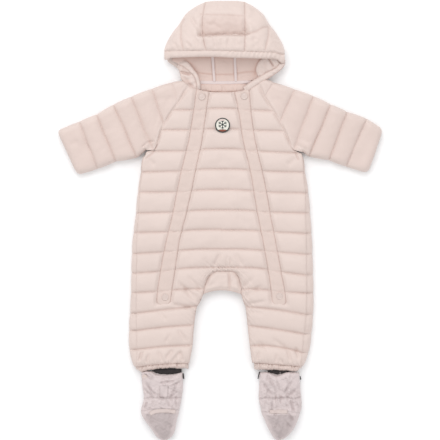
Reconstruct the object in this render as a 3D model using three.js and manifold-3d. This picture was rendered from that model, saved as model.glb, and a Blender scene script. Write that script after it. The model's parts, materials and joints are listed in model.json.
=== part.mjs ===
import * as THREE from 'three';
import { mergeVertices } from 'three/addons/utils/BufferGeometryUtils.js';
import Module from 'manifold-3d';

// A quilted baby down snowsuit, size 68, laid flat on its back with its front up. Millimetres.
// x runs from the wearer's right to the wearer's left, y from the toes to the hood, z up from the
// surface. The suit is two quilted layers, the back panel below and the front panel on it, with the
// sleeves folded flat beside them, a hood whose front stands up over its lining, and two booties.

// Driving dimensions
const SEAM_GAP = 0.3; // between two pieces at a seam
const BACK_TOP = 10.7; // top of the back layer
const FRONT_BASE = BACK_TOP + SEAM_GAP; // the flat inner side of the front layer
const SEAM_WALL = 3.6; // wall where a line of quilting holds it down
const PUFF = 9; // rise of a puff over its lines of quilting
const SCALLOP = 0.8; // how far a line of quilting pulls an edge in
const MIDDLE = 3; // the front's centre line
const ZIP_OFFSET = 10; // from a placket's outer edge to the zip
const ZIP_SLOT = 7; // opening that the zip closes
const PLACKET_WALL = 2; // two layers of shell cloth and their interlining
const TAFFETA = 1.2; // lining and tapes, with their seam allowances
const BRIM_RISE = 24; // how much higher the brim's middle stands than its corners
const CORNER_TOP = 23; // height of the brim's corners
const HOOD_WALL = 9; // padded wall of the hood's front
const BRIM_SEAM = 320.5; // y of the seam between the hood and its brim
const BRIM_DEPTH = 11; // of the binding along the brim
const SNAP = { diameter: 13.5, rise: 2.6 };
const PATCH = { x: 4.8, y: 180.7, diameter: 28.5, wall: 1.4 };

const SHELL = { color: 0xe8d7d0, roughness: 0.55, metalness: 0 };
const LINING = { color: 0xdcc5bd, roughness: 0.6, metalness: 0 };
const TAFFETA_PINK = { color: 0xd7c8c6, roughness: 0.5, metalness: 0 };
const TAPE_BLACK = { color: 0x2b2427, roughness: 0.8, metalness: 0 };
const SNAP_PINK = { color: 0xe3cfc8, roughness: 0.4, metalness: 0 };
const PATCH_WHITE = { color: 0xe9e6e4, roughness: 0.8, metalness: 0 };

// Where each line of quilting lies, from the neckline down to the hem seam: y at the right side, at the
// right zip, at the right inner edge, at the left inner edge, at the left zip and at the left side. The
// inner edge is the centre line down to the gusset and the inner leg below it.
const LINES = [
  [255.4, 245.5, 244, 244, 245.5, 259.2],
  [210, 209, 211, 211, 210, 208],
  [172, 172, 172, 172, 171, 170],
  [130, 131, 134, 134, 131, 127],
  [90, 93, 96, 96, 93, 90],
  [53, 53, 57, 57, 53, 51],
  [13, 15, 18, 18, 15, 14],
  [-23, -23, -20, -20, -23, -26],
  [-64, -61, -56, -56, -61, -65],
  [-100, -98, -89, -89, -98, -105],
  [-137, -136, -132, -132, -137, -136],
  [-177, -171, -164, -165, -173, -179],
  [-209, -205, -201, -200, -211, -216],
  [-245, -241, -238, -238, -241, -250],
  [-278, -272, -271, -270, -273, -277],
];
const STEPS = [0, 0.1, 0.3, 0.7, 0.9]; // where a channel of down is cut into facets
const GUSSET_TOP = 9.3; // the gusset starts 0.3 of a channel below line 9
const GUSSET_FOOT = 10.3;
const ZIP_END = 10;
const PLACKET_END = 10.7;

// The outline of the back at each side and how much of it shows beside the front: y, right x, right
// wrap, left x, left wrap
const SIDES = [
  [-279, -161.5, 4, 155.8, 4],
  [-265, -167, 9, 161.5, 8],
  [-242, -172, 14, 169, 13],
  [-197, -173, 14, 174.8, 13],
  [-165, -171, 11.5, 176.7, 12.8],
  [-130, -169.5, 10, 176.7, 12.5],
  [-83, -169, 10, 175.5, 11],
  [-37, -167, 8, 174, 10.5],
  [9, -161.5, 5.5, 171, 8.5],
  [54, -157.5, 4, 167.2, 5.5],
  [88, -152.5, 2.4, 162, 3.4],
  [111, -149.5, 1.4, 159.3, 1.6],
  [126, -145.5, 1.2, 156.5, 1.2],
];
const ARMPIT = 126;

// The raglan seams from the armpit to the neck: y, x
const RAGLAN = {
  right: [[126, -145.5], [134, -127.5], [146, -119.5], [170, -112], [197, -98], [223, -80], [255.6, -60]],
  left: [[126, 156.5], [134, 140.5], [146, 132.8], [166, 124], [187, 113.5], [204, 103], [234, 85],
    [259.4, 72.2]],
};

// The gusset's two seams and the inner legs below them: y, x
const INNER = {
  right: [[-283, -64], [-271, -59.8], [-238, -52.8], [-200, -49.4], [-165, -44], [-156, -38.5], [-142, -31.6],
    [-130, -31.2], [-118, -28.4], [-106, -22], [-98.8, -15.6]],
  left: [[-283, 67.5], [-271, 62.8], [-238, 56.4], [-200, 51.3], [-165, 46.8], [-156, 43.5], [-142, 38.8],
    [-130, 38.6], [-118, 36.5], [-106, 30], [-98.8, 20.5]],
};

// The plackets' edges: y, outer x, inner x
const PLACKETS = {
  right: [[-283, -112, -87], [-157, -120, -93], [-100, -114, -85.5], [-37, -102, -76], [8, -91, -64.5],
    [54, -82, -54], [93, -74, -46], [150, -60, -34], [190, -53, -28], [247, -44.5, -20]],
  left: [[-283, 118, 92], [-157, 125.5, 98], [-100, 117, 91.5], [-37, 105.5, 80.5], [8, 96.5, 71.5],
    [54, 88.5, 63.5], [93, 80.5, 57], [150, 67.5, 43.5], [190, 61, 37.5], [247, 55, 27]],
};

// The lines of quilting across each sleeve, from the neck to the cuff: x and y at the fold along the top,
// x and y at the raglan seam and then at the fold along the bottom
const SLEEVES = {
  right: [
    [-72, 265.6, -60, 255.6],
    [-91.8, 262.5, -80, 223],
    [-129.2, 250.2, -105.7, 181.5],
    [-169, 234.6, -127.5, 134],
    [-203, 218.5, -157.7, 119.2],
    [-235, 200, -197.6, 112.3],
    [-267, 187, -232, 98.5],
    [-304.5, 171.5, -268, 90.5],
  ],
  left: [
    [87.4, 268.3, 72.2, 259.4],
    [101.7, 263, 85, 234],
    [142.5, 250.2, 113.5, 187],
    [177.7, 237.7, 140.5, 134],
    [210, 220.2, 168.2, 121.5],
    [241.3, 205.2, 207.1, 115.2],
    [278, 192.3, 239.4, 103.6],
    [306.5, 170, 279, 93.5],
  ],
};
const ARMPIT_LINE = 3;

// The hood's side panels, from the centre strip to the brim's corner: share of the way, outline x and y,
// x at the brim seam, x and y at the neck and down the panel's lower edge
const HOOD_SIDES = {
  right: [
    [0, -31.6, 418, -31, -12.5, 258.8],
    [0.15, -46, 407, -40, -26, 258.4],
    [0.35, -65, 391.5, -55, -44, 257.7],
    [0.5, -78, 373.4, -70, -59.2, 257.8],
    [0.7, -92, 356, -84, -73.4, 269],
    [0.85, -101.5, 338, -94, -80, 285],
    [1, -106, 325, -103.5, -99, 300],
  ],
  left: [
    [0, 48.2, 418, 47.6, 29, 260],
    [0.15, 62.6, 407, 56.6, 42.6, 260.1],
    [0.35, 81.6, 391.5, 71.6, 60, 260.1],
    [0.5, 94.6, 373.4, 86.6, 72.4, 260.5],
    [0.7, 108.6, 356, 100.6, 88.2, 270],
    [0.85, 118, 338, 110.6, 103, 280],
    [1, 122.6, 325, 120, 119, 298],
  ],
};
const CROWN_LINES = [0.263, 0.672]; // lines of quilting across the centre strip, as shares from the crown
const CROWN_STEPS = [0.1, 0.19, 0.263, 0.33, 0.47, 0.6, 0.672, 0.74, 0.87, 0.96, 1];
const HOOD_MIDDLE = 8.3;

// The bindings of the hood's opening below the brim: x and y along each one's outer and inner edge
const FACE_EDGES = {
  right: [
    [-81, 295, -69, 307.5],
    [-66.5, 290, -59.7, 299.6],
    [-55, 282, -49.5, 288.6],
    [-46.2, 270.8, -38.8, 276],
    [-45, 261, -34.6, 263],
    [-43.6, 251.2, -33, 256.5],
  ],
  left: [
    [121.5, 306, 113.5, 301.5],
    [119.5, 295.5, 110, 294],
    [111, 285.5, 100.5, 289.5],
    [99.5, 278, 86, 280.8],
    [87.5, 270.6, 71.5, 272.5],
    [70.5, 263.6, 56.5, 265],
    [52.4, 252.2, 44.5, 257],
  ],
};

// The booties from the hem down to the toes: y, right edge, left edge, height
const BOOTS = {
  right: [
    [-291.5, -148.5, -73, 15],
    [-300, -149.2, -72.4, 17.5],
    [-322, -146.5, -72.4, 18],
    [-334, -144.8, -74, 15.5],
    [-345, -146.3, -76, 19],
    [-357, -150, -78, 17.5],
    [-368, -149.5, -80, 20],
    [-379, -144, -83.4, 22],
    [-391, -134.8, -85.6, 22],
    [-402, -127, -88, 20],
    [-411.5, -119, -94, 15],
    [-418.3, -111.5, -103, 8],
  ],
  left: [
    [-291.5, 76, 149.5, 15],
    [-300, 76, 150.5, 17.5],
    [-322, 75, 152, 18],
    [-334, 74.4, 153, 15.5],
    [-345, 75.6, 154, 19],
    [-357, 78.2, 153.6, 17.5],
    [-368, 80.5, 150, 20],
    [-379, 85.3, 146.5, 22],
    [-391, 90, 141.5, 22],
    [-402, 95.4, 134, 20],
    [-411.5, 101.3, 124, 15],
    [-418.3, 107.5, 114, 8],
  ],
};
const BOOT_CUTS = { ankle: -334, cap: -368 };

const mix = (a, b, share) => a + (b - a) * share;
const clamp = (value, low, high) => Math.min(high, Math.max(low, value));
const puff = (share) => Math.pow(Math.max(0, 4 * share * (1 - share)), 0.55);

// A smooth curve through rows of a table: the key is in one column and the value in another.
function curve(rows, valueColumn = 1, keyColumn = 0) {
  const knots = rows.map((row) => [row[keyColumn], row[valueColumn]]);
  const slope = (i) => {
    const before = knots[Math.max(0, i - 1)];
    const after = knots[Math.min(knots.length - 1, i + 1)];
    return (after[1] - before[1]) / (after[0] - before[0]);
  };
  return (key) => {
    let i = 0;
    while (i < knots.length - 2 && key > knots[i + 1][0]) i += 1;
    const [start, end] = [knots[i], knots[i + 1]];
    const span = end[0] - start[0];
    const t = clamp((key - start[0]) / span, 0, 1);
    const [a, b] = [start[1], end[1]];
    const bend = slope(i) * span * t * (1 - t) ** 2 - slope(i + 1) * span * t * t * (1 - t);
    return a + (b - a) * t * t * (3 - 2 * t) + bend;
  };
}

// ---- Closed solids from points -------------------------------------------------------------------

function geometryOf(points, triangles) {
  const geometry = new THREE.BufferGeometry();
  geometry.setAttribute('position', new THREE.Float32BufferAttribute(points.flat(), 3));
  geometry.setIndex(triangles.flat());
  return geometry;
}

// Triangles of a flat or nearly flat anticlockwise polygon of [u, v] points, with every point used.
function polygonTriangles(outline) {
  const triangles = THREE.ShapeUtils.triangulateShape(outline.map(([u, v]) => new THREE.Vector2(u, v)), []);
  if (triangles.length !== outline.length - 2) throw new Error('a polygon crosses itself');
  return triangles;
}

// A panel: a grid of points [x, y, z] whose rows run down and columns run to +x, with some cells left
// out. Each point has a twin below it at the height that `under` gives, and walls join the open edges.
// A flat underside is one polygon on the edge points alone.
function panel(grid, under, { skip = () => false, flat = false } = {}) {
  const points = [];
  const names = new Map();
  const name = ([x, y, z], level) => {
    const key = `${x.toFixed(3)} ${y.toFixed(3)} ${level}`;
    if (!names.has(key)) {
      names.set(key, points.length);
      points.push([x, y, z]);
    }
    return names.get(key);
  };
  const top = (point) => name(point, 'top');
  const twin = (index) => name([points[index][0], points[index][1], under(points[index])], 'under');
  const triangles = [];
  for (let r = 0; r < grid.length - 1; r += 1) {
    for (let c = 0; c < grid[r].length - 1; c += 1) {
      const cell = [grid[r][c], grid[r + 1][c], grid[r + 1][c + 1], grid[r][c + 1]];
      if (cell.some((point) => !point) || skip(r, c)) continue;
      const [a, b, d, e] = cell.map(top);
      triangles.push([a, b, d], [a, d, e]);
    }
  }
  const upper = triangles.slice();
  const directed = new Set(upper.flatMap(([a, b, c]) => [`${a} ${b}`, `${b} ${c}`, `${c} ${a}`]));
  const next = new Map();
  for (const [a, b, c] of upper) {
    for (const [from, to] of [[a, b], [b, c], [c, a]]) {
      if (directed.has(`${to} ${from}`)) continue;
      next.set(from, to);
      triangles.push([to, from, twin(from)], [to, twin(from), twin(to)]);
    }
  }
  if (flat) {
    const loop = [next.keys().next().value];
    while (next.get(loop.at(-1)) !== loop[0]) loop.push(next.get(loop.at(-1)));
    if (loop.length !== next.size) throw new Error('a flat panel has more than one edge');
    const corners = polygonTriangles(loop.map((index) => points[index].slice(0, 2)));
    triangles.push(...corners.map(([a, b, c]) => [twin(loop[c]), twin(loop[b]), twin(loop[a])]));
  } else {
    triangles.push(...upper.map(([a, b, c]) => [twin(c), twin(b), twin(a)]));
  }
  return geometryOf(points, triangles);
}

// A solid through rings of points [x, y, z], each ring with as many points, closed by a face at each end.
function loft(rings) {
  const count = rings[0].length;
  const points = rings.flat();
  const triangles = [];
  for (let r = 0; r < rings.length - 1; r += 1) {
    for (let i = 0; i < count; i += 1) {
      const j = (i + 1) % count;
      const [a, b] = [r * count + i, r * count + j];
      triangles.push([a, b, b + count], [a, b + count, a + count]);
    }
  }
  const cap = (ring, first, outward) => {
    const normal = new THREE.Vector3();
    ring.forEach((p, i) => {
      const q = ring[(i + 1) % count];
      normal.x += (p[1] - q[1]) * (p[2] + q[2]);
      normal.y += (p[2] - q[2]) * (p[0] + q[0]);
      normal.z += (p[0] - q[0]) * (p[1] + q[1]);
    });
    normal.normalize();
    const helper = Math.abs(normal.z) > 0.9 ? new THREE.Vector3(1, 0, 0) : new THREE.Vector3(0, 0, 1);
    const across = helper.cross(normal).normalize();
    const up = new THREE.Vector3().crossVectors(normal, across).normalize();
    const flatPoints = ring.map((p) => {
      const point = new THREE.Vector3(...p);
      return [point.dot(across), point.dot(up)];
    });
    for (const [a, b, c] of polygonTriangles(flatPoints)) {
      triangles.push(outward ? [first + a, first + b, first + c] : [first + c, first + b, first + a]);
    }
  };
  cap(rings[0], 0, false);
  cap(rings.at(-1), (rings.length - 1) * count, true);
  return facingOut(geometryOf(points, triangles));
}

function facingOut(geometry) {
  const place = geometry.getAttribute('position');
  const index = geometry.getIndex().array;
  const corner = [0, 1, 2].map(() => new THREE.Vector3());
  let volume = 0;
  for (let i = 0; i < index.length; i += 3) {
    corner.forEach((vertex, k) => vertex.fromBufferAttribute(place, index[i + k]));
    volume += corner[0].dot(corner[1].cross(corner[2])) / 6;
  }
  if (volume < 0) {
    for (let i = 0; i < index.length; i += 3) [index[i], index[i + 1]] = [index[i + 1], index[i]];
  }
  return geometry;
}

// A slab on an outline that runs anticlockwise: each outline point has the same number of steps
// {inset, z} from the underside to the top, set in along the point's own inward direction.
function slab(outline) {
  const rings = outline[0].steps.map((_, level) =>
    outline.map(({ x, y, inward, steps }) => [
      x + inward[0] * steps[level].inset,
      y + inward[1] * steps[level].inset,
      steps[level].z,
    ]),
  );
  return loft(rings);
}

// The inward direction at each point of an anticlockwise outline of [x, y] points, mitred at corners.
function inwardDirections(outline) {
  const normals = outline.map(([x, y], i) => {
    const [nextX, nextY] = outline[(i + 1) % outline.length];
    return new THREE.Vector2(y - nextY, nextX - x).normalize();
  });
  return normals.map((after, i) => {
    const before = normals[(i + normals.length - 1) % normals.length];
    const reach = 1 + Math.max(-0.3, before.dot(after));
    return [(before.x + after.x) / reach, (before.y + after.y) / reach];
  });
}

// A flat pad on an outline, with a rounded upper edge.
function pad(outline, bottom, top, round) {
  const inward = inwardDirections(outline);
  const steps = [
    { inset: 0.3 * round, z: bottom },
    { inset: 0, z: mix(bottom, top, 0.4) },
    { inset: 0.3 * round, z: mix(bottom, top, 0.8) },
    { inset: round, z: top },
  ];
  return slab(outline.map(([x, y], i) => ({ x, y, inward: inward[i], steps })));
}

const wasm = await Module();
wasm.setup();

function bare(geometry) {
  const plain = geometry.clone();
  plain.deleteAttribute('normal');
  plain.deleteAttribute('uv');
  return plain;
}

function solidOf(geometry) {
  const merged = mergeVertices(bare(geometry), 1e-4);
  return new wasm.Manifold(new wasm.Mesh({
    numProp: 3,
    vertProperties: Float32Array.from(merged.getAttribute('position').array),
    triVerts: Uint32Array.from(merged.getIndex().array),
  }));
}

function cut(geometry, tool) {
  const mesh = solidOf(geometry).subtract(solidOf(tool)).getMesh();
  const result = new THREE.BufferGeometry();
  const kept = [];
  for (let i = 0; i < mesh.vertProperties.length; i += mesh.numProp) {
    kept.push(...mesh.vertProperties.slice(i, i + 3));
  }
  result.setAttribute('position', new THREE.Float32BufferAttribute(kept, 3));
  result.setIndex(Array.from(mesh.triVerts));
  return result;
}

// The thin space between two layers that lie on each other, over a plan outline.
function layerGap(outline) {
  const shape = new THREE.Shape(outline.map(([x, y]) => new THREE.Vector2(x, y)));
  const prism = new THREE.ExtrudeGeometry(shape, { depth: SEAM_GAP, bevelEnabled: false });
  prism.translate(0, 0, BACK_TOP);
  return prism;
}

const suit = new THREE.Group();

function add(name, geometry, finish) {
  const mesh = new THREE.Mesh(geometry, new THREE.MeshStandardMaterial(finish));
  mesh.name = name;
  suit.add(mesh);
}

// ---- Front panel ---------------------------------------------------------------------------------

const sideX = { right: curve(SIDES, 1), left: curve(SIDES, 3) };
const sideWrap = { right: curve(SIDES, 2), left: curve(SIDES, 4) };
const raglanX = { right: curve(RAGLAN.right), left: curve(RAGLAN.left) };
const innerX = { right: curve(INNER.right), left: curve(INNER.left) };
const placketOuter = { right: curve(PLACKETS.right, 1), left: curve(PLACKETS.left, 1) };
const placketInner = { right: curve(PLACKETS.right, 2), left: curve(PLACKETS.left, 2) };
const outward = { right: -1, left: 1 };

// Places down the body are counted in channels of down: 9.3 is 0.3 of the way from line 9 to line 10.
const PLACES = LINES.slice(1).flatMap((_, line) => STEPS.map((step) => line + step)).concat(LINES.length - 1);

function lineY(place, column) {
  const line = Math.min(Math.floor(place + 1e-9), LINES.length - 2);
  return mix(LINES[line][column], LINES[line + 1][column], place - line);
}

const puffAt = (place) => puff(place - Math.floor(place + 1e-9));

// The front's outer edge: the raglan seam down to the armpit, then the side seam.
function frontEdge(side, y) {
  const seam = y > ARMPIT ? raglanX[side](y) : sideX[side](y) - outward[side] * sideWrap[side](y);
  return seam - outward[side] * SEAM_GAP;
}

// How much of its full puff each column has, from the side seam to the centre line; the fifth to the
// eighth lie under the placket.
const COLUMN_PUFF = [0.3, 0.85, 1, 0.85, 0.42, 0.32, 0.32, 0.42, 0.85, 1, 1, 1];
const UNDER_PLACKET = [4, 5, 6, 7];
const ZIP_COLUMN = 5;
const INNER_COLUMN = 10;
const GUSSET_HALF = 18.3;

function halfRow(side, place) {
  const columns = side === 'right' ? [0, 1, 2] : [5, 4, 3];
  const [ySide, yZip, yInner] = columns.map((column) => lineY(place, column));
  const legs = place > GUSSET_TOP + 1e-6;
  const sign = outward[side];
  const tuck = SCALLOP * (1 - puffAt(place));
  const edge = frontEdge(side, ySide) - sign * tuck;
  const outer = placketOuter[side](yZip);
  const inner = placketInner[side](yZip);
  const middle = legs ? innerX[side](yInner) : MIDDLE;
  const flank = Math.abs(edge - outer);
  const belly = Math.abs(inner - middle);
  const near = legs ? middle : middle + sign * Math.min(GUSSET_HALF, 0.38 * belly);
  const slot = outer - sign * (ZIP_OFFSET + 0.4 * puffAt(place));
  const xs = [
    edge,
    edge - sign * Math.min(8, 0.3 * flank),
    (edge + outer) / 2,
    outer + sign * Math.min(5, 0.25 * flank),
    outer,
    slot,
    slot - sign * (ZIP_SLOT - 0.8 * puffAt(place)),
    inner,
    inner - sign * Math.min(6, 0.25 * belly),
    (inner + near) / 2,
    near,
  ];
  if (!legs) xs.push(middle);
  const knots = [[edge, ySide], [(outer + inner) / 2, yZip], [middle, yInner]];
  const lineAt = (x) => knots.reduce((sum, [xi, yi], i) => {
    const others = knots.filter((_, j) => j !== i);
    return sum + yi * others.reduce((product, [xj]) => product * (x - xj) / (xi - xj), 1);
  }, 0);
  return xs.map((x, column) => {
    let share = COLUMN_PUFF[column];
    if (UNDER_PLACKET.includes(column) && place > PLACKET_END) share = 0.95;
    if (legs && column === INNER_COLUMN) share = 0.3;
    return [x, lineAt(x), FRONT_BASE + SEAM_WALL + PUFF * share * puffAt(place)];
  });
}

const frontGrid = PLACES.map((place) => {
  const right = halfRow('right', place);
  const left = halfRow('left', place);
  const centre = right.length > INNER_COLUMN + 1 ? right.pop() : null;
  if (centre) left.pop();
  return [...right, centre, ...left.reverse()];
});
const lastColumn = frontGrid[0].length - 1;
const zipColumns = [ZIP_COLUMN, lastColumn - ZIP_COLUMN - 1];
const frontSkip = (row, column) => zipColumns.includes(column) && PLACES[row] < ZIP_END - 1e-6;
add('front', panel(frontGrid, () => FRONT_BASE, { skip: frontSkip, flat: true }), SHELL);

// ---- Gusset --------------------------------------------------------------------------------------

// An arch between the two inner seams. Its lower edge is the crotch, higher in the middle than at its
// feet, and an upright seam presses a groove into it.
const gussetRows = PLACES.filter((place) => place > GUSSET_TOP - 1e-6 && place < GUSSET_FOOT + 1e-6);
const CROTCH_BOW = 11;
const GUSSET_SHARES = [0, 0.12, 0.35, 0.6, 0.66, 0.72, 0.9, 1];
const GUSSET_GROOVE = 0.66;
add('gusset', panel(gussetRows.map((place, row) => {
  const depth = row / (gussetRows.length - 1);
  const at = (column) => frontGrid[PLACES.indexOf(place)][column];
  const [right, left] = [at(INNER_COLUMN), at(lastColumn - INNER_COLUMN)];
  return GUSSET_SHARES.map((share) => {
    const x = mix(right[0] + 1.5 * SEAM_GAP, left[0] - 1.5 * SEAM_GAP, share);
    const y = mix(right[1], left[1], share) - 1.5 * SEAM_GAP + CROTCH_BOW * depth * 4 * share * (1 - share);
    const groove = Math.min(1, Math.abs(share - GUSSET_GROOVE) / 0.06);
    const full = puff(clamp(share, 0.02, 0.98)) * puff(clamp(depth, 0.03, 0.97)) * mix(0.45, 1, groove);
    return [x, y, FRONT_BASE + SEAM_WALL + 0.55 * PUFF * full];
  });
}), () => FRONT_BASE, { flat: true }), SHELL);

// The seam where a leg meets its hem band, at a share of the way from the side to the inner leg.
const bow = (first, middle, last, share) => (
  mix(first, last, share) + (middle - (first + last) / 2) * 4 * share * (1 - share)
);
function hemSeam(side, share) {
  const columns = side === 'right' ? [0, 1, 2] : [5, 4, 3];
  return bow(...columns.map((column) => LINES.at(-1)[column]), share);
}

// ---- Back panel ----------------------------------------------------------------------------------

// Steps up the back's edge. `wrap` is the width that shows beside the front, and `rise` how far it
// stands above the back's flat upper side.
function backSteps(wrap, rise) {
  return [
    { inset: 5, z: 0 },
    { inset: 1.2, z: 1.8 },
    { inset: 0, z: 5 + 0.2 * rise },
    { inset: 0.15 * wrap, z: 8.6 + 0.6 * rise },
    { inset: 0.5 * wrap, z: 10.4 + rise },
    { inset: 0.85 * wrap, z: 10.5 + 0.7 * rise },
    { inset: wrap, z: BACK_TOP },
  ];
}
const PLAIN_WRAP = 5.5;
const BACK_STEPS = [0, 0.12, 0.5, 0.88];
const CROTCH_RISE = 20; // from the feet of the back's crotch to its middle
const RAGLAN_OVERLAP = 0.5; // the back's edge lies a little inside the front's
const neckY = (x) => 257.1 + 0.029 * x + 1.2 * (1 - ((x - 6) / 66) ** 2);

function backOutline() {
  const down = [];
  for (let line = ARMPIT_LINE; line < LINES.length - 1; line += 1) {
    down.push(...BACK_STEPS.map((step) => line + step));
  }
  down.push(LINES.length - 1);
  const side = (name, place) => {
    const y = lineY(place, name === 'right' ? 0 : 5);
    const full = puffAt(place);
    const wrap = sideWrap[name](y);
    const rise = (1.5 + 5.5 * full) * clamp((wrap - 3) / 5, 0, 1);
    const x = sideX[name](y) - outward[name] * 1.2 * (1 - full);
    const steps = backSteps(Math.max(1.1, wrap - 1.2 * (1 - full)), rise);
    return { x, y, inward: [-outward[name], 0], steps };
  };
  const plain = (x, y) => ({ x, y, steps: backSteps(PLAIN_WRAP, 0) });
  const raglan = (name) => RAGLAN[name].map(([y]) => (
    plain(raglanX[name](y) - outward[name] * RAGLAN_OVERLAP, y - RAGLAN_OVERLAP)
  ));
  const nearHem = LINES.length - 1 - (1 - BACK_STEPS.at(-1));
  const legPlaces = down.filter((place) => place > GUSSET_FOOT && Math.abs(place - nearHem) > 0.01);
  const leg = (name) => legPlaces.map((place) => {
    const y = lineY(place, name === 'right' ? 2 : 3);
    return plain(innerX[name](y), y);
  });
  const foot = { right: leg('right')[0], left: leg('left')[0] };
  const crotch = [0.12, 0.3, 0.5, 0.7, 0.88].map((share) => plain(
    mix(foot.right.x, foot.left.x, share),
    mix(foot.right.y, foot.left.y, share) + CROTCH_RISE * (4 * share * (1 - share)) ** 0.6,
  ));
  const neck = [0.8, 0.6, 0.4, 0.2].map((share) => {
    const x = mix(-60, 72, share);
    return plain(x, neckY(x) - 0.3);
  });
  const hem = (name, shares) => shares.map((share) => {
    const [outer, inner] = [side(name, LINES.length - 1), leg(name).at(-1)];
    return plain(mix(outer.x, inner.x, share), hemSeam(name, share));
  });
  const sidePlaces = down.filter((place) => lineY(place, 0) < ARMPIT - 1 && lineY(place, 5) < ARMPIT - 1);
  const outline = [
    ...raglan('right').reverse(),
    ...sidePlaces.map((place) => side('right', place)),
    ...hem('right', [0.25, 0.5, 0.75]),
    ...leg('right').reverse(),
    ...crotch,
    ...leg('left'),
    ...hem('left', [0.75, 0.5, 0.25]),
    ...sidePlaces.map((place) => side('left', place)).reverse(),
    ...raglan('left'),
    ...neck,
  ];
  const inward = inwardDirections(outline.map(({ x, y }) => [x, y]));
  return outline.map((point, i) => ({ inward: inward[i], ...point }));
}
add('back', slab(backOutline()), SHELL);

// ---- Plackets, zips and snaps --------------------------------------------------------------------

const placketRows = PLACES.filter((place) => place < PLACKET_END + 1e-6).map((place) => PLACES.indexOf(place));
const placketLift = SEAM_GAP + 0.1;
const placketGrids = {};
for (const side of ['right', 'left']) {
  const mirrored = UNDER_PLACKET.map((column) => lastColumn - column).reverse();
  const columns = side === 'right' ? UNDER_PLACKET : mirrored;
  const outerCorner = side === 'right' ? 0 : columns.length - 1;
  const grid = placketRows.map((row, i) => columns.map((column, j) => {
    const [x, y, z] = frontGrid[row][column];
    const corner = i === placketRows.length - 1 && j === outerCorner ? 5 : 0;
    return [x - outward[side] * corner, y + 0.6 * corner, z + placketLift + PLACKET_WALL];
  }));
  placketGrids[side] = grid;
  add(`placket_${side}`, panel(grid, ([, , z]) => z - PLACKET_WALL), SHELL);

  const zipEdges = [ZIP_COLUMN, ZIP_COLUMN + 1]
    .map((column) => (side === 'right' ? column : lastColumn - column));
  const zipRows = placketRows.filter((row) => PLACES[row] < ZIP_END - 1e-6);
  const zipGrid = zipRows.map((row, i) => {
    const [a, b] = zipEdges.map((column) => frontGrid[row][column]).sort((p, q) => p[0] - q[0]);
    const lower = i === zipRows.length - 1 ? 1 : 0;
    return [0, 1].map((end) => [
      (end ? b : a)[0] + (end ? -1 : 1) * (SEAM_GAP + 0.1),
      (end ? b : a)[1] - lower,
      FRONT_BASE + SEAM_WALL - SEAM_GAP,
    ]);
  });
  add(`zip_${side}`, panel(zipGrid, () => FRONT_BASE), LINING);
}

// The height of a grid's surface over a plan point, or 0 beyond its edge.
function heightAt(grid, x, y) {
  const beside = (p, q) => (q[0] - p[0]) * (y - p[1]) - (q[1] - p[1]) * (x - p[0]);
  for (let r = 0; r < grid.length - 1; r += 1) {
    for (let c = 0; c < grid[r].length - 1; c += 1) {
      const [a, b, d, e] = [grid[r][c], grid[r + 1][c], grid[r + 1][c + 1], grid[r][c + 1]];
      if (!a || !b || !d || !e) continue;
      for (const [p, q, s] of [[a, b, d], [a, d, e]]) {
        const [u, v, w] = [beside(q, s), beside(s, p), beside(p, q)];
        if (Math.min(u, v, w) >= 0) return (u * p[2] + v * q[2] + w * s[2]) / (u + v + w);
      }
    }
  }
  return 0;
}

const circle = (x, y, radius, count) => Array.from({ length: count }, (_, i) => {
  const turn = (i / count) * 2 * Math.PI;
  return [x + radius * Math.cos(turn), y + radius * Math.sin(turn)];
});

// Where the underside of a round piece lies when it rests on a grid's surface.
function seatOn(grid, x, y, radius) {
  const spots = [[x, y], ...circle(x, y, radius / 2, 12), ...circle(x, y, radius, 24)];
  return Math.max(...spots.map((spot) => heightAt(grid, ...spot))) + SEAM_GAP;
}

const SNAPS = [
  ['snap_top_right', 'right', -34.6, 235],
  ['snap_top_left', 'left', 45.9, 236],
  ['snap_bottom_right', 'right', -106, -146],
  ['snap_bottom_left', 'left', 111, -140],
];
for (const [name, side, x, y] of SNAPS) {
  const profile = [[0, 0], [0.86, 0], [1, 0.3], [0.92, 0.75], [0.6, 1], [0, 1]]
    .map(([r, z]) => new THREE.Vector2(r * SNAP.diameter / 2, z * SNAP.rise));
  const cap = new THREE.LatheGeometry(profile, 20);
  cap.rotateX(Math.PI / 2);
  cap.translate(x, y, seatOn(placketGrids[side], x, y, SNAP.diameter / 2));
  add(name, mergeVertices(bare(cap)), SNAP_PINK);
}

// The round patch bridges a line of quilting, so it is a flat disc on the puff above that line.
const patchSeat = seatOn(frontGrid, PATCH.x, PATCH.y, PATCH.diameter / 2);
const patchEdge = circle(PATCH.x, PATCH.y, PATCH.diameter / 2, 24);
add('chest_patch', pad(patchEdge, patchSeat, patchSeat + PATCH.wall, 1), PATCH_WHITE);

// ---- Flattened tubes: sleeves, hems and booties ----------------------------------------------------

// Points round a flattened tube that lies on the surface between plan points a and b: steps in from each
// edge as {inset, share of the height}, and for an edge that is sewn to a panel, an upright wall instead.
const FOLDED = [[6, 0], [1.5, 0.1], [0, 0.36], [1.3, 0.6], [5, 0.8], [12, 0.93]];
const SEWN = [[0, 0], [0, 0.15], [0, 0.35], [0, 0.55], [2.5, 0.68], [10, 0.9]];
const TOP_SHARES = [0.32, 0.5, 0.68];

function tubeRing(a, b, height, sewnA = 0, sewnB = 0, floor = 0) {
  const run = Math.hypot(b[0] - a[0], b[1] - a[1]);
  const squeeze = Math.min(1, run / 45);
  const at = (distance, share) => [
    mix(a[0], b[0], distance / run),
    mix(a[1], b[1], distance / run),
    floor + share * (height - floor),
  ];
  const edge = (sewn) => FOLDED.map(([inset, share], i) => [
    mix(inset, SEWN[i][0], sewn) * squeeze,
    mix(share, SEWN[i][1], sewn),
  ]);
  return [
    ...edge(sewnA).map(([inset, share]) => at(inset, share)),
    ...TOP_SHARES.map((share) => at(run * share, 1)),
    ...edge(sewnB).reverse().map(([inset, share]) => at(run - inset, share)),
  ];
}

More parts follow.
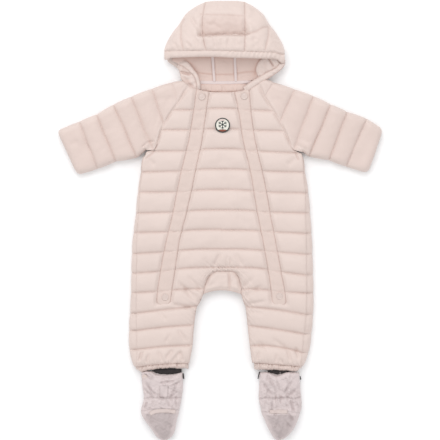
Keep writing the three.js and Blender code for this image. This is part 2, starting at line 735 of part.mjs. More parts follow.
const SLEEVE_SEAM_TOP = FRONT_BASE + SEAM_WALL;
const SLEEVE_PUFF = 8.5;
const MITT_TOP = 20;
// The mitt's rounded end: distance from the cuff's edge, tuck at each corner, share of the height
const CUFF = [[12, 0, 1], [6, 0.6, 0.93], [2, 3, 0.75], [0, 7, 0.45]];

function sleeve(side) {
  const table = SLEEVES[side];
  const place = (column) => (v) => {
    const line = Math.min(Math.floor(v + 1e-9), table.length - 2);
    return mix(table[line][column], table[line + 1][column], v - line);
  };
  const [topX, topY, lowX, lowY] = [0, 1, 2, 3].map(place);
  const sign = outward[side];
  const armpit = ARMPIT_LINE + 0.25;
  const notch = [raglanX[side](ARMPIT) + sign * 1.2, ARMPIT + 3.6];
  const ends = (v) => {
    const full = puff(v - Math.floor(v + 1e-9));
    const tuck = 2.2 * SCALLOP * (1 - full);
    const top = [topX(v), topY(v)];
    let low = [lowX(v), lowY(v)];
    if (v <= ARMPIT_LINE + 1e-6) {
      low = [raglanX[side](low[1]) + sign * 0.3, low[1] + 0.3];
    } else if (v <= armpit + 1e-6) {
      const start = [raglanX[side](lowY(ARMPIT_LINE)) + sign * 0.3, lowY(ARMPIT_LINE) + 0.3];
      const share = (v - ARMPIT_LINE) / (armpit - ARMPIT_LINE);
      low = [mix(start[0], notch[0], share), mix(start[1], notch[1], share)];
    } else if (v < ARMPIT_LINE + 1) {
      const share = (v - armpit) / (ARMPIT_LINE + 1 - armpit);
      const end = table[ARMPIT_LINE + 1];
      low = [mix(notch[0], end[2], share), mix(notch[1], end[3], share)];
    }
    const run = Math.hypot(low[0] - top[0], low[1] - top[1]);
    const tuckLow = v > armpit ? tuck : 0;
    const along = (d) => [mix(top[0], low[0], d / run), mix(top[1], low[1], d / run)];
    return [along(tuck), along(run - tuckLow)];
  };
  const rings = [];
  const steps = [];
  for (let line = 0; line < table.length - 1; line += 1) {
    const extra = line === ARMPIT_LINE ? [0, 0.12, 0.25, 0.45, 0.7, 0.9] : STEPS;
    if (line < table.length - 2) steps.push(...extra.map((step) => line + step));
  }
  const last = table.length - 2;
  steps.push(last, last + 0.12, last + 0.35);
  for (const v of steps) {
    const [top, low] = ends(v);
    const rise = v <= last
      ? SLEEVE_PUFF * puff(v - Math.floor(v + 1e-9))
      : (MITT_TOP - SLEEVE_SEAM_TOP) * puff(v - last) ** 0.5;
    const sewn = v <= armpit + 1e-6 ? 1 : 0;
    rings.push(tubeRing(top, low, SLEEVE_SEAM_TOP + rise, 0, sewn));
  }
  const [topStart, lowStart] = [[topX(last), topY(last)], [lowX(last), lowY(last)]];
  const [topEnd, lowEnd] = [table.at(-1).slice(0, 2), table.at(-1).slice(2)];
  const reach = Math.hypot(topEnd[0] - topStart[0], topEnd[1] - topStart[1]);
  for (const [distance, tuck, share] of CUFF) {
    const v = 1 - distance / reach;
    const a = [0, 1].map((i) => mix(topStart[i], topEnd[i], v));
    const b = [0, 1].map((i) => mix(lowStart[i], lowEnd[i], v));
    const run = Math.hypot(b[0] - a[0], b[1] - a[1]);
    const along = (d) => [mix(a[0], b[0], d / run), mix(a[1], b[1], d / run)];
    rings.push(tubeRing(along(tuck), along(run - tuck), MITT_TOP * share));
  }
  return rings;
}

for (const side of ['right', 'left']) {
  const sign = outward[side];
  const table = SLEEVES[side];
  const armhole = [[table[0][0] - sign * 8, table[0][1] + 4], [MIDDLE, table[0][1]], [MIDDLE, ARMPIT]];
  const gap = [
    ...armhole,
    [table[3][2] + sign * 16, ARMPIT + 9],
    [table[4][2] + sign * 2, table[4][3] + 12],
    [table[6][2], table[6][3] + 12],
    [table[7][2] - sign * 10, table[7][3] + 20],
    [table[7][0] - sign * 14, table[7][1] - 14],
    [table[4][0] - sign * 2, table[4][1] - 12],
    [table[1][0] - sign * 4, table[1][1] - 10],
  ];
  add(`sleeve_${side}`, cut(loft(sleeve(side)), layerGap(gap)), SHELL);
}

// The elasticated band of each hem: a flattened tube as deep as the band, gathered along its length.
const HEMS = { // x at the side, x at the inner leg, y of the lower edge at the side, in the middle, inside
  right: [-157.5, -62, -291, -281.5, -283],
  left: [153, 66.5, -288.5, -284.5, -284.5],
};
const HEM_TOP = 17;
// A section of the band, from the seam over the top to the lower edge: inset and share of the height
const BAND_UPPER = [[0.8, 0], [0.3, 0.25], [0, 0.55], [0.4, 0.88], [3, 1]];
const BAND_LOWER = [[4, 0.96], [1.2, 0.75], [0, 0.4], [0.8, 0.1], [2, 0]];
for (const side of ['right', 'left']) {
  const [outer, inner, ySide, yMiddle, yInner] = HEMS[side];
  const rings = Array.from({ length: 21 }, (_, i) => {
    const u = i / 20;
    const end = Math.min(1, 8 * Math.min(u, 1 - u) + 0.35);
    const gather = 1 - 0.07 * (i % 2);
    const top = HEM_TOP * gather * Math.pow(end, 0.5);
    const x = mix(outer, inner, u);
    const [upper, lower] = [hemSeam(side, u) - 1.2, bow(ySide, yMiddle, yInner, u)];
    const low = lower + 2 * (1 - end);
    return [
      ...BAND_UPPER.map(([inset, share]) => [x, upper - inset, share * top]),
      ...BAND_LOWER.map(([inset, share]) => [x, low + inset, share * top]),
    ];
  });
  const [a, b] = [outer - outward[side] * 9, inner + outward[side] * 9].sort((p, q) => p - q);
  const gap = [[a, -310], [b, -310], [b, -260], [a, -260]];
  add(`hem_${side}`, cut(loft(rings), layerGap(gap).translate(0, 0, -3)), SHELL);
}

// Booties: each is cut at the ankle and at the toe cap.
function bootRings(side, from, to) {
  const table = BOOTS[side];
  const byY = [1, 2, 3].map((column) => curve(table.slice().reverse(), column));
  const stations = table.map(([y]) => y).filter((y) => y < from - 1 && y > to + 1);
  const ys = [from, ...stations, to];
  return ys.map((y) => {
    const [a, b, height] = byY.map((value) => value(y));
    return tubeRing([a, y], [b, y], height);
  });
}
const BOOT_PARTS = [
  ['shaft', BOOTS.right[0][0], BOOT_CUTS.ankle + SEAM_GAP / 2],
  ['vamp', BOOT_CUTS.ankle - SEAM_GAP / 2, BOOT_CUTS.cap + SEAM_GAP / 2],
  ['toe', BOOT_CUTS.cap - SEAM_GAP / 2, BOOTS.right.at(-1)[0]],
];
for (const side of ['right', 'left']) {
  const [outer, inner] = side === 'right' ? [-138, -90] : [90, 140];
  const gap = [[outer, -396], [inner, -396], [inner, -280], [outer, -280]];
  for (const [part, from, to] of BOOT_PARTS) {
    const solid = cut(loft(bootRings(side, from, to)), layerGap(gap).translate(0, 0, -2.5));
    add(`boot_${part}_${side}`, solid, TAFFETA_PINK);
  }
}

// The stitched tab at the right bootie's ankle.
add('boot_tab_right', pad([[-114, -330], [-114, -315], [-99, -315], [-99, -330]], 18.3, 19.6, 1), TAFFETA_PINK);

// The dark tape inside each hem and the strap ends beside the booties.
const TAPES = [
  ['hem_tape_right', [
    [-134, -290.8], [-104, -290.4], [-73, -290.4], [-73, -282.3], [-104, -281.7], [-134, -285.6],
  ], 3, 9],
  ['hem_tape_left', [
    [88, -290.8], [110, -290.9], [134, -290.7], [134, -286.9], [110, -285.1], [88, -284.7],
  ], 3, 9],
  ['boot_strap_inner_right', [[-71.4, -302], [-67, -300], [-68.5, -286], [-72.2, -286.4]], 4, 10],
  ['boot_strap_inner_left', [[70.5, -300.5], [74, -301.5], [75, -292], [78, -287.5], [73.5, -286.8]], 4, 10],
  ['boot_strap_outer_left', [[151.3, -303], [155.5, -302], [153, -290], [150.2, -290]], 4, 10],
];
for (const [name, outline, bottom, top] of TAPES) add(name, pad(outline, bottom, top, 0.8), TAPE_BLACK);

// ---- Hood ----------------------------------------------------------------------------------------

const brimHeight = (x) => CORNER_TOP + BRIM_RISE * Math.max(0, 1 - ((x - HOOD_MIDDLE) / 114) ** 2) ** 0.7;

// A section of the hood from its lower edge by the neck, back along the surface, up round the outline
// and forward over the lining to the brim, with the hollow between the two layers open at the brim.
// `puffed` gives the puff at a share of the way from the outline to the brim.
function hoodRing(outline, brim, neck, puffed) {
  const length = Math.hypot(brim[0] - outline[0], brim[1] - outline[1]);
  const squeeze = Math.min(1, length / 60);
  const toNeck = Math.hypot(neck[0] - outline[0], neck[1] - outline[1]);
  const towards = (target, distance, span) => [0, 1].map((i) => mix(outline[i], target[i], distance / span));
  const low = (distance, z) => [...towards(neck, distance, toNeck), z];
  const high = brimHeight(brim[0]);
  const dome = (share) => mix(15, high, Math.sin(Math.PI / 2 * Math.min(1, share / 0.92)) ** 0.8);
  const over = (share, z) => [...towards(brim, share * length, length), z];
  const inner = [0.75, 0.5, 0.3].map((share) => over(share, Math.max(12.8, dome(share) - HOOD_WALL - 1)));
  return [
    low(toNeck - 3, 0),
    low(6 * squeeze, 0),
    low(1.4 * squeeze, 2.2),
    low(0, 8),
    ...CROWN_STEPS.map((share) => over(share, dome(share) + 5 * puffed(share))),
    over(1, high - HOOD_WALL),
    ...inner,
    low(16 * squeeze, 12.6),
    low(16 * squeeze + 1, BACK_TOP),
    low(toNeck - 2, BACK_TOP),
    low(toNeck, 4),
  ];
}

function hoodSide(side) {
  const table = HOOD_SIDES[side];
  const [outlineX, outlineY, brimX, neckX, neckLow] = [1, 2, 3, 4, 5].map((column) => curve(table, column));
  const seam = 0.55; // the upright line of quilting
  const shares = [...STEPS.map((t) => t * seam), ...STEPS.map((t) => mix(seam, 1, t)), 1];
  return shares.map((share) => {
    const t = share < seam ? share / seam : (share - seam) / (1 - seam);
    const shift = share === 0 ? outward[side] * 0.2 : 0;
    const full = puff(clamp(t, 0, 1));
    return hoodRing(
      [outlineX(share) + shift, outlineY(share)],
      [brimX(share) + shift, BRIM_SEAM],
      [neckX(share) + shift, neckLow(share)],
      (v) => full * puff(clamp(v, 0.04, 0.9)) ** 0.5,
    );
  });
}
for (const side of ['right', 'left']) add(`hood_side_${side}`, loft(hoodSide(side)), SHELL);

const [stripRight, stripLeft] = [HOOD_SIDES.right[0], HOOD_SIDES.left[0]];
add('hood_centre', loft([0, 0.1, 0.3, 0.5, 0.7, 0.9, 1].map((share) => {
  const [ox, oy, bx, nx, ny] = [1, 2, 3, 4, 5].map((column) => {
    const shift = column === 2 || column === 5 ? 0 : 0.2;
    return mix(stripRight[column] + shift, stripLeft[column] - shift, share);
  });
  const across = puff(clamp(share, 0.02, 0.98)) ** 0.4;
  const bounds = [0, ...CROWN_LINES, 1];
  return hoodRing([ox, oy + 1.5 * across], [bx, BRIM_SEAM], [nx, ny], (v) => {
    const channel = bounds.findIndex((bound, i) => v >= bound - 1e-6 && v <= bounds[i + 1] + 1e-6);
    return across * puff((v - bounds[channel]) / (bounds[channel + 1] - bounds[channel]));
  });
})), SHELL);

// The binding along the brim, held up by the hood's front edge.
add('hood_brim', loft(Array.from({ length: 17 }, (_, i) => {
  const share = i / 16;
  const x = mix(-104.2, 120.8, share);
  const high = brimHeight(clamp(x, -103.5, 120));
  const end = Math.min(1, 6 * Math.min(share, 1 - share) + 0.5);
  const y = BRIM_SEAM - SEAM_GAP;
  const depth = BRIM_DEPTH * end;
  return [[0, -8], [0, -1.5], [2, 0.6], [depth - 3, 0.4], [depth, -2], [depth, -6], [depth - 3, -8.4]]
    .map(([back, rise]) => [x, y - back, high + rise]);
})), SHELL);

// What lies on the hood's back layer: lining, its two seam tapes, the neck tape and the facing.
const liningTop = FRONT_BASE + TAFFETA;
add('hood_lining', pad([
  [-36, 267], [0, 266.6], [52, 267.2], [79, 273], [101.5, 285.5], [113, 300], [106, 318], [95, 334], [50, 345],
  [8, 347], [-34, 345], [-78, 334], [-88, 318], [-92, 304], [-70, 292], [-52, 278],
], FRONT_BASE, liningTop, 0.5), LINING);
for (const [name, low, high] of [['lining_tape_right', -15.6, -9.5], ['lining_tape_left', 24.7, 31.3]]) {
  const outline = [[low, 267.6], [high, 267.6], [high + 0.3, 305], [high, 340], [low, 340], [low - 0.3, 305]];
  add(name, pad(outline, liningTop + SEAM_GAP, liningTop + SEAM_GAP + 0.8, 0.4), TAFFETA_PINK);
}
add('neck_tape', pad([
  [-31, 259.2], [10, 259.9], [49, 260.6], [51, 264], [48, 266.4], [5, 265.6], [-33, 266.2],
], FRONT_BASE, FRONT_BASE + 2, 0.8), TAFFETA_PINK);
add('neck_facing', pad([
  [-31.5, 248.6], [-20, 247.8], [-4, 245.4], [20, 245.6], [34, 248], [43, 248.8], [43.5, 253], [42, 257.6],
  [10, 257.2], [-30.5, 256.6],
], FRONT_BASE, FRONT_BASE + 1.6, 0.6), LINING);

// The binding down each side of the hood's opening: a soft strap between two plan edges.
const EDGE_BOTTOM = liningTop + SEAM_GAP;
for (const side of ['right', 'left']) {
  const rows = FACE_EDGES[side].map(([ax, ay, bx, by], i, all) => {
    const end = i === 0 || i === all.length - 1 ? 0.7 : 1;
    const at = (share, z) => [mix(ax, bx, share), mix(ay, by, share), EDGE_BOTTOM + z * end];
    return [at(0.08, 0), at(0, 2.4), at(0.12, 5), at(0.5, 6.4), at(0.88, 5), at(1, 2.4), at(0.92, 0)];
  });
  add(`face_edge_${side}`, loft(rows), SHELL);
}
add('hood_fold_right', pad([
  [-82.5, 286.5], [-77.5, 278], [-75.4, 271], [-71, 266.6], [-59.6, 257.4], [-51, 253], [-46.6, 256],
  [-46.2, 263], [-48, 271], [-56.5, 280.6], [-67, 288.4], [-78, 292.6],
], FRONT_BASE, EDGE_BOTTOM + 7.5, 3), SHELL);
add('lining_side_left', pad([
  [72, 274], [86, 282.2], [100.5, 291], [109.5, 296], [112.5, 302.6], [108, 309], [94, 311], [80, 307], [71, 296],
  [68, 285],
], EDGE_BOTTOM, EDGE_BOTTOM + 5.5, 3), LINING);

export default suit;
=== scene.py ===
# %% [markdown]
# # A baby's down snowsuit, laid flat
#
# The suit is a bag of thin nylon with lines of stitching that hold down in channels. Each panel is a
# surface worked out from the same cutting tables as the solid model: where the quilting lies, where the
# seams run and how high a channel swells. Tables are in millimetres and meshes in metres, in the frame
# of the imported model: x to the wearer's left, y to the hood, z up from the surface below the suit.

# %% Load the imported model
import json

import bmesh
import bpy
import numpy as np
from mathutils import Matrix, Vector

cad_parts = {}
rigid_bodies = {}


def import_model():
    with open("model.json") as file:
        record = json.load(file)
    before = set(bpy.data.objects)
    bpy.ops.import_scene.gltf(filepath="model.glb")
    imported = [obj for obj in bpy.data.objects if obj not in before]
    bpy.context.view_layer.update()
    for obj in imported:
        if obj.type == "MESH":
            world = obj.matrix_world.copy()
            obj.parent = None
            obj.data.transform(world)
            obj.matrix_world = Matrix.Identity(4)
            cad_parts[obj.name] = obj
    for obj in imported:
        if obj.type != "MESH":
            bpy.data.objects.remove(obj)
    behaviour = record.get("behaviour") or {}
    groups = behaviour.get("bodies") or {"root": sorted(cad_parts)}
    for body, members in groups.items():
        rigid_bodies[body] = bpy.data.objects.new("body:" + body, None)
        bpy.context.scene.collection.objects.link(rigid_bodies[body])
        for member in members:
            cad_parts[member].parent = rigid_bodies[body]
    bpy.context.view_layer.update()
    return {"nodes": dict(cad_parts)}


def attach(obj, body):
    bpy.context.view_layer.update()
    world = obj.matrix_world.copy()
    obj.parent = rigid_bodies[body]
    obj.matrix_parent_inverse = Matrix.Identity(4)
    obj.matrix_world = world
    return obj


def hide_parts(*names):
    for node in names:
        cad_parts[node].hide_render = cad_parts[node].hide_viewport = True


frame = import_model()
MM = 0.001
scene = bpy.context.scene
print("nodes in the frame:", len(frame["nodes"]))

# %% [markdown]
# ## Camera, floor and light
#
# The suit lies on a white floor, seen from straight above by a long lens, which keeps its outline free
# of perspective. A wide soft light beyond the hood grazes the channels, so each puff is bright along its
# upper side and shaded towards the seam below it, and three weak fills keep those shades soft.

# %% Objects and materials


def put(name, data):
    """A new object in the scene, with its place at the origin."""
    made = bpy.data.objects.new(name, data)
    scene.collection.objects.link(made)
    return made


def feed(node, inputs):
    """Give a node's inputs their values, or a link where the value is another node's output."""
    for key, value in inputs.items():
        if isinstance(value, bpy.types.NodeSocket):
            node.id_data.links.new(value, node.inputs[key])
        else:
            node.inputs[key].default_value = value


def add(material, kind, output, inputs=(), **settings):
    """A new node with these settings and inputs. Returns its output of the name given."""
    node = material.node_tree.nodes.new("ShaderNode" + kind)
    for key, value in settings.items():
        setattr(node, key, value)
    feed(node, dict(inputs))
    return node.outputs[output]


def new_material(name, inputs, slot=""):
    """A material whose Principled shader has these inputs."""
    made = bpy.data.materials.new(name)
    made.use_nodes = True
    if slot:
        made["slot"] = slot
    feed(made.node_tree.nodes["Principled BSDF"], inputs)
    return made


# %% Camera and floor
VIEW_WIDTH = 0.836
LENS = 200.0
SENSOR = 36.0
camera_data = bpy.data.cameras.new("camera")
camera_data.lens = LENS
camera_data.sensor_width = SENSOR
camera_data.clip_end = 20.0
camera = put("camera", camera_data)
camera.location = (0.0, 0.001, VIEW_WIDTH * LENS / SENSOR + 0.012)
scene.camera = camera

FLOOR_DROP = 0.0003
FLOOR_REACH = 6.0
SQUARE = ((-1, -1), (1, -1), (1, 1), (-1, 1))
floor_mesh = bpy.data.meshes.new("floor")
corners = [(FLOOR_REACH * x, FLOOR_REACH * y, -FLOOR_DROP) for x, y in SQUARE]
floor_mesh.from_pydata(corners, [], [(0, 1, 2, 3)])
floor_white = new_material("floor_white", {"Base Color": (0.93, 0.93, 0.935, 1), "Roughness": 0.9})
floor_mesh.materials.append(floor_white)
put("floor", floor_mesh)
print("camera height, m:", round(camera.location.z, 3))

# %% Lights
LIGHTS = [  # name, place, size, power in W
    ("key", (-0.35, 2.1, 2.4), 2.2, 44.0),
    ("fill_left", (-2.6, 0.2, 2.2), 2.4, 18.0),
    ("fill_right", (2.6, -0.2, 2.2), 2.4, 16.0),
    ("fill_low", (0.0, -2.4, 2.6), 2.6, 16.0),
]
for name, place, size, power in LIGHTS:
    lamp = bpy.data.lights.new(name, "AREA")
    lamp.size = size
    lamp.energy = power
    lamp_object = put(name, lamp)
    lamp_object.location = place
    lamp_object.rotation_euler = (-Vector(place)).to_track_quat("-Z", "Y").to_euler()
world = bpy.data.worlds.new("studio")
world.use_nodes = True
feed(world.node_tree.nodes["Background"], {"Color": (1, 1, 1, 1), "Strength": 0.68})
scene.world = world
scene.view_settings.view_transform = "Standard"
print("lights:", len(LIGHTS))

# %% [markdown]
# ## Smooth curves through the cutting tables
#
# A table gives a seam as a few places down the body. A Hermite curve passes smoothly through every row,
# so that two panels that read the same row meet at the same point.

# %% Curves, steps and noise


def curve(rows, value=1):
    """A smooth function through table rows, from their first column to the one named by value: cubic
    Hermite pieces, each slope taken from both neighbours."""
    keys, values = (np.array([row[column] for row in rows], float) for column in (0, value))
    low = np.maximum(np.arange(len(keys)) - 1, 0)
    high = np.minimum(np.arange(len(keys)) + 1, len(keys) - 1)
    slopes = (values[high] - values[low]) / (keys[high] - keys[low])

    def at(place):
        i = np.clip(np.searchsorted(keys, place, side="left") - 1, 0, len(keys) - 2)
        span = keys[i + 1] - keys[i]
        t = np.clip((place - keys[i]) / span, 0, 1)
        bend = slopes[i] * span * t * (1 - t) ** 2 - slopes[i + 1] * span * t * t * (1 - t)
        return values[i] + (values[i + 1] - values[i]) * t * t * (3 - 2 * t) + bend

    return at


def mix(a, b, share):
    """a where share is 0, b where it is 1, and in proportion between."""
    return a + (b - a) * share


def ramp(value, start=0.0, end=1.0):
    """A smooth step: 0 below start, 1 above end, with level ends."""
    t = np.clip((value - start) / (end - start), 0, 1)
    return t * t * (3 - 2 * t)


def bell(distance, width):
    """A bell curve: the exponential of minus the square of distance over width."""
    return np.exp(-((distance / width) ** 2))


def bow(first, middle, last, share):
    """A parabola through three values at shares 0, 0.5 and 1."""
    return mix(first, last, share) + (middle - (first + last) / 2) * 4 * share * (1 - share)


def noise(x, y, wavelength, seed, waves=14):
    """Even random waves: a sum of cosines in random directions, all about one wavelength long."""
    rng = np.random.default_rng(seed)
    turns = rng.uniform(0, 2 * np.pi, waves)
    lengths = wavelength * rng.uniform(0.7, 1.5, waves)
    starts = rng.uniform(0, 2 * np.pi, waves)
    total = np.zeros(np.broadcast(x, y).shape)
    for turn, length, start in zip(turns, lengths, starts):
        total += np.cos(2 * np.pi * (x * np.cos(turn) + y * np.sin(turn)) / length + start)
    return total * np.sqrt(2 / waves)


def creases(x, y, rows):
    """Soft grooves: each row is x0, y0, x1, y1, width and depth. Across a groove the depth falls off as
    a bell curve, and along it by a smooth step at both ends."""
    total = np.zeros(np.broadcast(x, y).shape)
    for x0, y0, x1, y1, width, depth in rows:
        run = np.hypot(x1 - x0, y1 - y0)
        ux, uy = (x1 - x0) / run, (y1 - y0) / run
        along = (x - x0) * ux + (y - y0) * uy
        fade = ramp(along, -2, 0.3 * run) * ramp(run - along, -2, 0.3 * run)
        total -= depth * fade * bell((x - x0) * uy - (y - y0) * ux, width)
    return total


# %% [markdown]
# ## What a channel of down looks like
#
# Between two lines of stitching the cloth swells to a rounded ridge. Beside the stitching it is pinched
# into short wrinkles, because the thread gathers it, and further off the down lies in soft uneven lumps.
# All three are one function of the place in the channel, so every quilted panel is filled alike.

# %% Channel profile and gathers
LINE_RISE = 2.5  # the cloth's own thickness keeps a line of stitching this far off the bottom
LUMP_STEP = 61.0  # how far apart the channels and the seams lie in the noise, so that each gets its own
GATHER_STEP = 83.0
CHANNEL_LENGTH = 40.0  # a usual channel, in mm down the body


def since_line(place):
    """The line of stitching before each place, and the share of the channel passed since."""
    line = np.floor(place + 1e-9)
    return line, place - line


def swell(t):
    """The ridge between two seams: a low arc, four t times one minus t, on top of a quick step beside
    either seam, where the stitched cloth turns up."""
    arc = np.clip(4 * t * (1 - t), 0, 1)
    return 0.75 * arc ** 0.68 + 0.25 * (1 - np.exp(-np.clip(np.minimum(t, 1 - t), 0, 1) / 0.035))


def gathers(along, line, distance, seed, wavelength=7.5, reach=5.0, depth=0.35):
    """Pinches beside a seam: narrow valleys at random places along it, which die out with distance."""
    valley = bell(noise(along + 0.25 * distance, line * GATHER_STEP, wavelength, seed), 0.55)
    return -depth * valley * np.exp(-distance / reach) * ramp(distance, 0, 1.2)


def channel(along, place, depth, seed, height):
    """Height over the seams and seam tint for a quilted panel. place counts channels and depth is a
    channel's length. Height is the swell, scaled by slow random lumps, less the gathers at the seams
    above and below, and the root of its square plus LINE_RISE squared rounds the valley. The tint is a
    bell curve on each line of stitching: the seam line, with painted shade of its groove."""
    line, t = since_line(place)
    t = np.clip(t, 0, 1)
    down = line * LUMP_STEP + t * depth
    lump = 1 + 0.045 * noise(along, down, 52, seed) + 0.016 * noise(along, down, 17, seed + 1)
    near_hem = 1 + 5 * ramp(place, 13, 14)
    rise = height * swell(t) * lump + gathers(along, line, t * depth, seed + 2)
    rise += near_hem * gathers(along, line + 1, (1 - t) * depth, seed + 2, reach=5.0 * near_hem ** 0.5)
    return np.hypot(rise, LINE_RISE), bell(np.minimum(t, 1 - t) * depth, 2.0)


def channel_steps(first, last, count):
    """Places from first to last, denser beside each line of stitching: an even step pulled towards the
    whole numbers by a cosine."""
    line, t = since_line(np.linspace(first, last, int(round((last - first) * count)) + 1))
    return line + 0.3 * t + 0.7 * (1 - np.cos(np.pi * t)) / 2


# %% [markdown]
# ## From numbers to meshes
#
# A panel is a grid of points whose cells become quads. Grids that share an edge are welded there, and
# the open border is drawn down to the panel's flat inner side and filled, so that every piece is a
# closed skin with its faces outwards. A tube is a grid whose columns run all the way round.

# %% Mesh builder


def points_of(x, y, z):
    """Three arrays, spread to one shape, as a grid of points."""
    return np.stack(np.broadcast_arrays(x, y, z), axis=-1)


def facing(grid, tint, turned, axis=0):
    """A grid and its tint, taken backwards along one axis where that turns the faces outwards."""
    return (np.flip(grid, axis), np.flip(tint, axis)) if turned else (grid, tint)


def quads_of(rows, columns, offset, wrap):
    """Corner numbers of a grid's cells, anticlockwise when rows run down and columns run right."""
    index = np.arange(rows * columns).reshape(rows, columns) + offset
    if wrap:
        index = np.concatenate([index, index[:, :1]], axis=1)
    cells = [index[:-1, :-1], index[1:, :-1], index[1:, 1:], index[:-1, 1:]]
    return np.stack(cells, axis=-1).reshape(-1, 4)


def declare(name, mesh, finish, replaces=()):
    """Put a mesh in the scene as a piece that rides on the root body and stands for its CAD nodes."""
    mesh.materials.append(finish)
    made = put(name, mesh)
    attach(made, "root")
    if replaces:
        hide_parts(*replaces)
    print(name, len(mesh.vertices), "vertices")
    return made


def piece(name, grids, finish, replaces=(), base=None, wrap=False, closed=True, wall=0.0):
    """One object from grids of points in mm, each with a tint of the same shape. base is the height of
    the flat inner side, or None for a tube, whose ends are filled. wall adds thickness to an open cloth."""
    points, faces, tints, count = [], [], [], 0
    for grid, tint in grids:
        rows, columns = grid.shape[:2]
        faces.append(quads_of(rows, columns, count, wrap))
        points.append(grid.reshape(-1, 3) * MM)
        tints.append(np.broadcast_to(tint, (rows, columns)).ravel())
        count += rows * columns
    mesh = bpy.data.meshes.new(name)
    mesh.from_pydata(np.concatenate(points).tolist(), [], np.concatenate(faces).tolist())
    # The seam attribute holds each point's tint: seam lines, painted shade in creases, on edges and under
    # folds, and on the patch its print.
    layer = mesh.attributes.new("seam", "FLOAT", "POINT")
    layer.data.foreach_set("value", np.concatenate(tints).astype(np.float32))
    model = bmesh.new()
    model.from_mesh(mesh)
    bmesh.ops.remove_doubles(model, verts=model.verts, dist=2e-5)
    if closed:
        border = [edge for edge in model.edges if edge.is_boundary]
        if base is not None:
            for item in bmesh.ops.extrude_edge_only(model, edges=border)["geom"]:
                if isinstance(item, bmesh.types.BMVert):
                    item.co.z = base * MM
            border = [edge for edge in model.edges if edge.is_boundary]
        bmesh.ops.holes_fill(model, edges=border, sides=0)
        bmesh.ops.recalc_face_normals(model, faces=model.faces)
    model.to_mesh(mesh)
    model.free()
    mesh.polygons.foreach_set("use_smooth", np.ones(len(mesh.polygons), bool))
    made = declare(name, mesh, finish, replaces)
    if wall:
        thick = made.modifiers.new("wall", "SOLIDIFY")
        thick.thickness = wall * MM
        thick.offset = -1
    return made


# %% [markdown]
# ## Finishes
#
# Down-proof nylon is a fine plain weave, pressed until it has a soft sheen. Its colour wanders slightly,
# as dyed cloth does, and is deeper in the seams, where the thread pulls it in, with painted shade of the
# grooves on top. The same tint paints shade in creases, along the edges of flaps and bindings and under
# the brim. The weave is two crossed waves in the bump. The seam tint is an attribute of the panels, so
# it follows the stitching and the painted shade.

# %% Cloth finish
WAVE_SCALE = 0.314  # a wave texture repeats every WAVE_SCALE / scale metres


def cloth(name, colour, seam_and_shade_colour, slot, roughness=0.5, sheen=0.3, weave=0.32, crinkle=0.25, tint=0.36):
    """A woven cloth: base colour mixed towards seam_and_shade_colour by the seam attribute, which holds
    seam lines and painted shade, and wandering by a few per cent, crossed waves `weave` mm apart and a
    soft crinkle in the bump, and a sheen."""
    made = new_material(name, {"Roughness": roughness, "Sheen Weight": sheen, "Sheen Roughness": 0.4,
                               "Sheen Tint": (1.0, 0.93, 0.9, 1), "Specular IOR Level": 0.35}, slot)
    place = add(made, "TexCoord", "Object")
    seam = add(made, "Attribute", "Fac", name="seam", attribute_name="seam")
    drift = add(made, "TexNoise", "Fac", {"Scale": 22, "Detail": 5, "Vector": place})
    shade = add(made, "MapRange", "Result", {"To Min": 0.955, "To Max": 1.045, "Value": drift})
    amount = add(made, "Math", 0, {0: seam, 1: tint}, operation="MULTIPLY")
    dyes = {"A": (*colour, 1), "B": (*seam_and_shade_colour, 1), "Factor": amount}
    dyed = add(made, "Mix", "Result", dyes, data_type="RGBA")
    toned = add(made, "VectorMath", "Vector", {0: dyed, "Scale": shade}, name="toned", operation="SCALE")
    wave = {"Scale": WAVE_SCALE / (weave * MM), "Distortion": 0.6, "Vector": place}
    bands = [add(made, "TexWave", "Fac", wave, bands_direction=axis) for axis in "XY"]
    crossed = add(made, "Math", 0, {0: bands[0], 1: bands[1]}, operation="MULTIPLY")
    fold = add(made, "TexNoise", "Fac", {"Scale": 170, "Detail": 3, "Vector": place})
    fine = add(made, "Bump", "Normal", {"Strength": 0.25, "Distance": 0.06 * MM, "Height": crossed})
    rough = {"Strength": crinkle, "Distance": 0.8 * MM, "Height": fold, "Normal": fine}
    coarse = add(made, "Bump", "Normal", rough)
    feed(made.node_tree.nodes["Principled BSDF"], {"Base Color": toned, "Normal": coarse})
    return made


# The seam colours are also the colour of painted shade: the tint mixes towards them in creases and grooves,
# along flap and binding edges and in folds.
PINK_SEAM_AND_SHADE = (0.555, 0.408, 0.365)
GREIGE, GREIGE_SEAM_AND_SHADE = (0.615, 0.53, 0.525), (0.27, 0.225, 0.225)
BLACK, BLACK_SEAM = (0.025, 0.02, 0.021), (0.01, 0.01, 0.01)
shell_cloth = cloth("shell_nylon_pink", (0.667, 0.556, 0.514), PINK_SEAM_AND_SHADE, "shell_nylon")
flap_cloth = cloth("flap_nylon_pink", (0.64, 0.524, 0.48), PINK_SEAM_AND_SHADE, "shell_nylon", crinkle=0.35, tint=0.75)
# The lining's brown seam colour is also painted shade, beside the side folds and under the brim.
lining_cloth = cloth("lining_pink", (0.65, 0.51, 0.462), (0.50, 0.30, 0.245), "lining_cloth", roughness=0.65)
boot_cloth = cloth("bootie_taffeta", GREIGE, GREIGE_SEAM_AND_SHADE, "bootie_taffeta", roughness=0.45, crinkle=0.5)
tape_cloth = cloth("seam_tape_pale", (0.66, 0.56, 0.545), (0.42, 0.31, 0.3), "bootie_taffeta", weave=0.5)
dark_cloth = cloth("tape_black", BLACK, BLACK_SEAM, "dark_tape", roughness=0.8, weave=0.6)
binding_cloth = cloth("binding_cream", (0.6, 0.505, 0.48), PINK_SEAM_AND_SHADE, "bootie_taffeta", weave=0.4)
print("cloths:", [item.name for item in bpy.data.materials if item.get("slot")])

# %% [markdown]
# ## The cutting tables
#
# These are the tables of the solid model: the lines of quilting where they meet the side, the zip and
# the inner edge of each half, and every seam as a few places down the body.

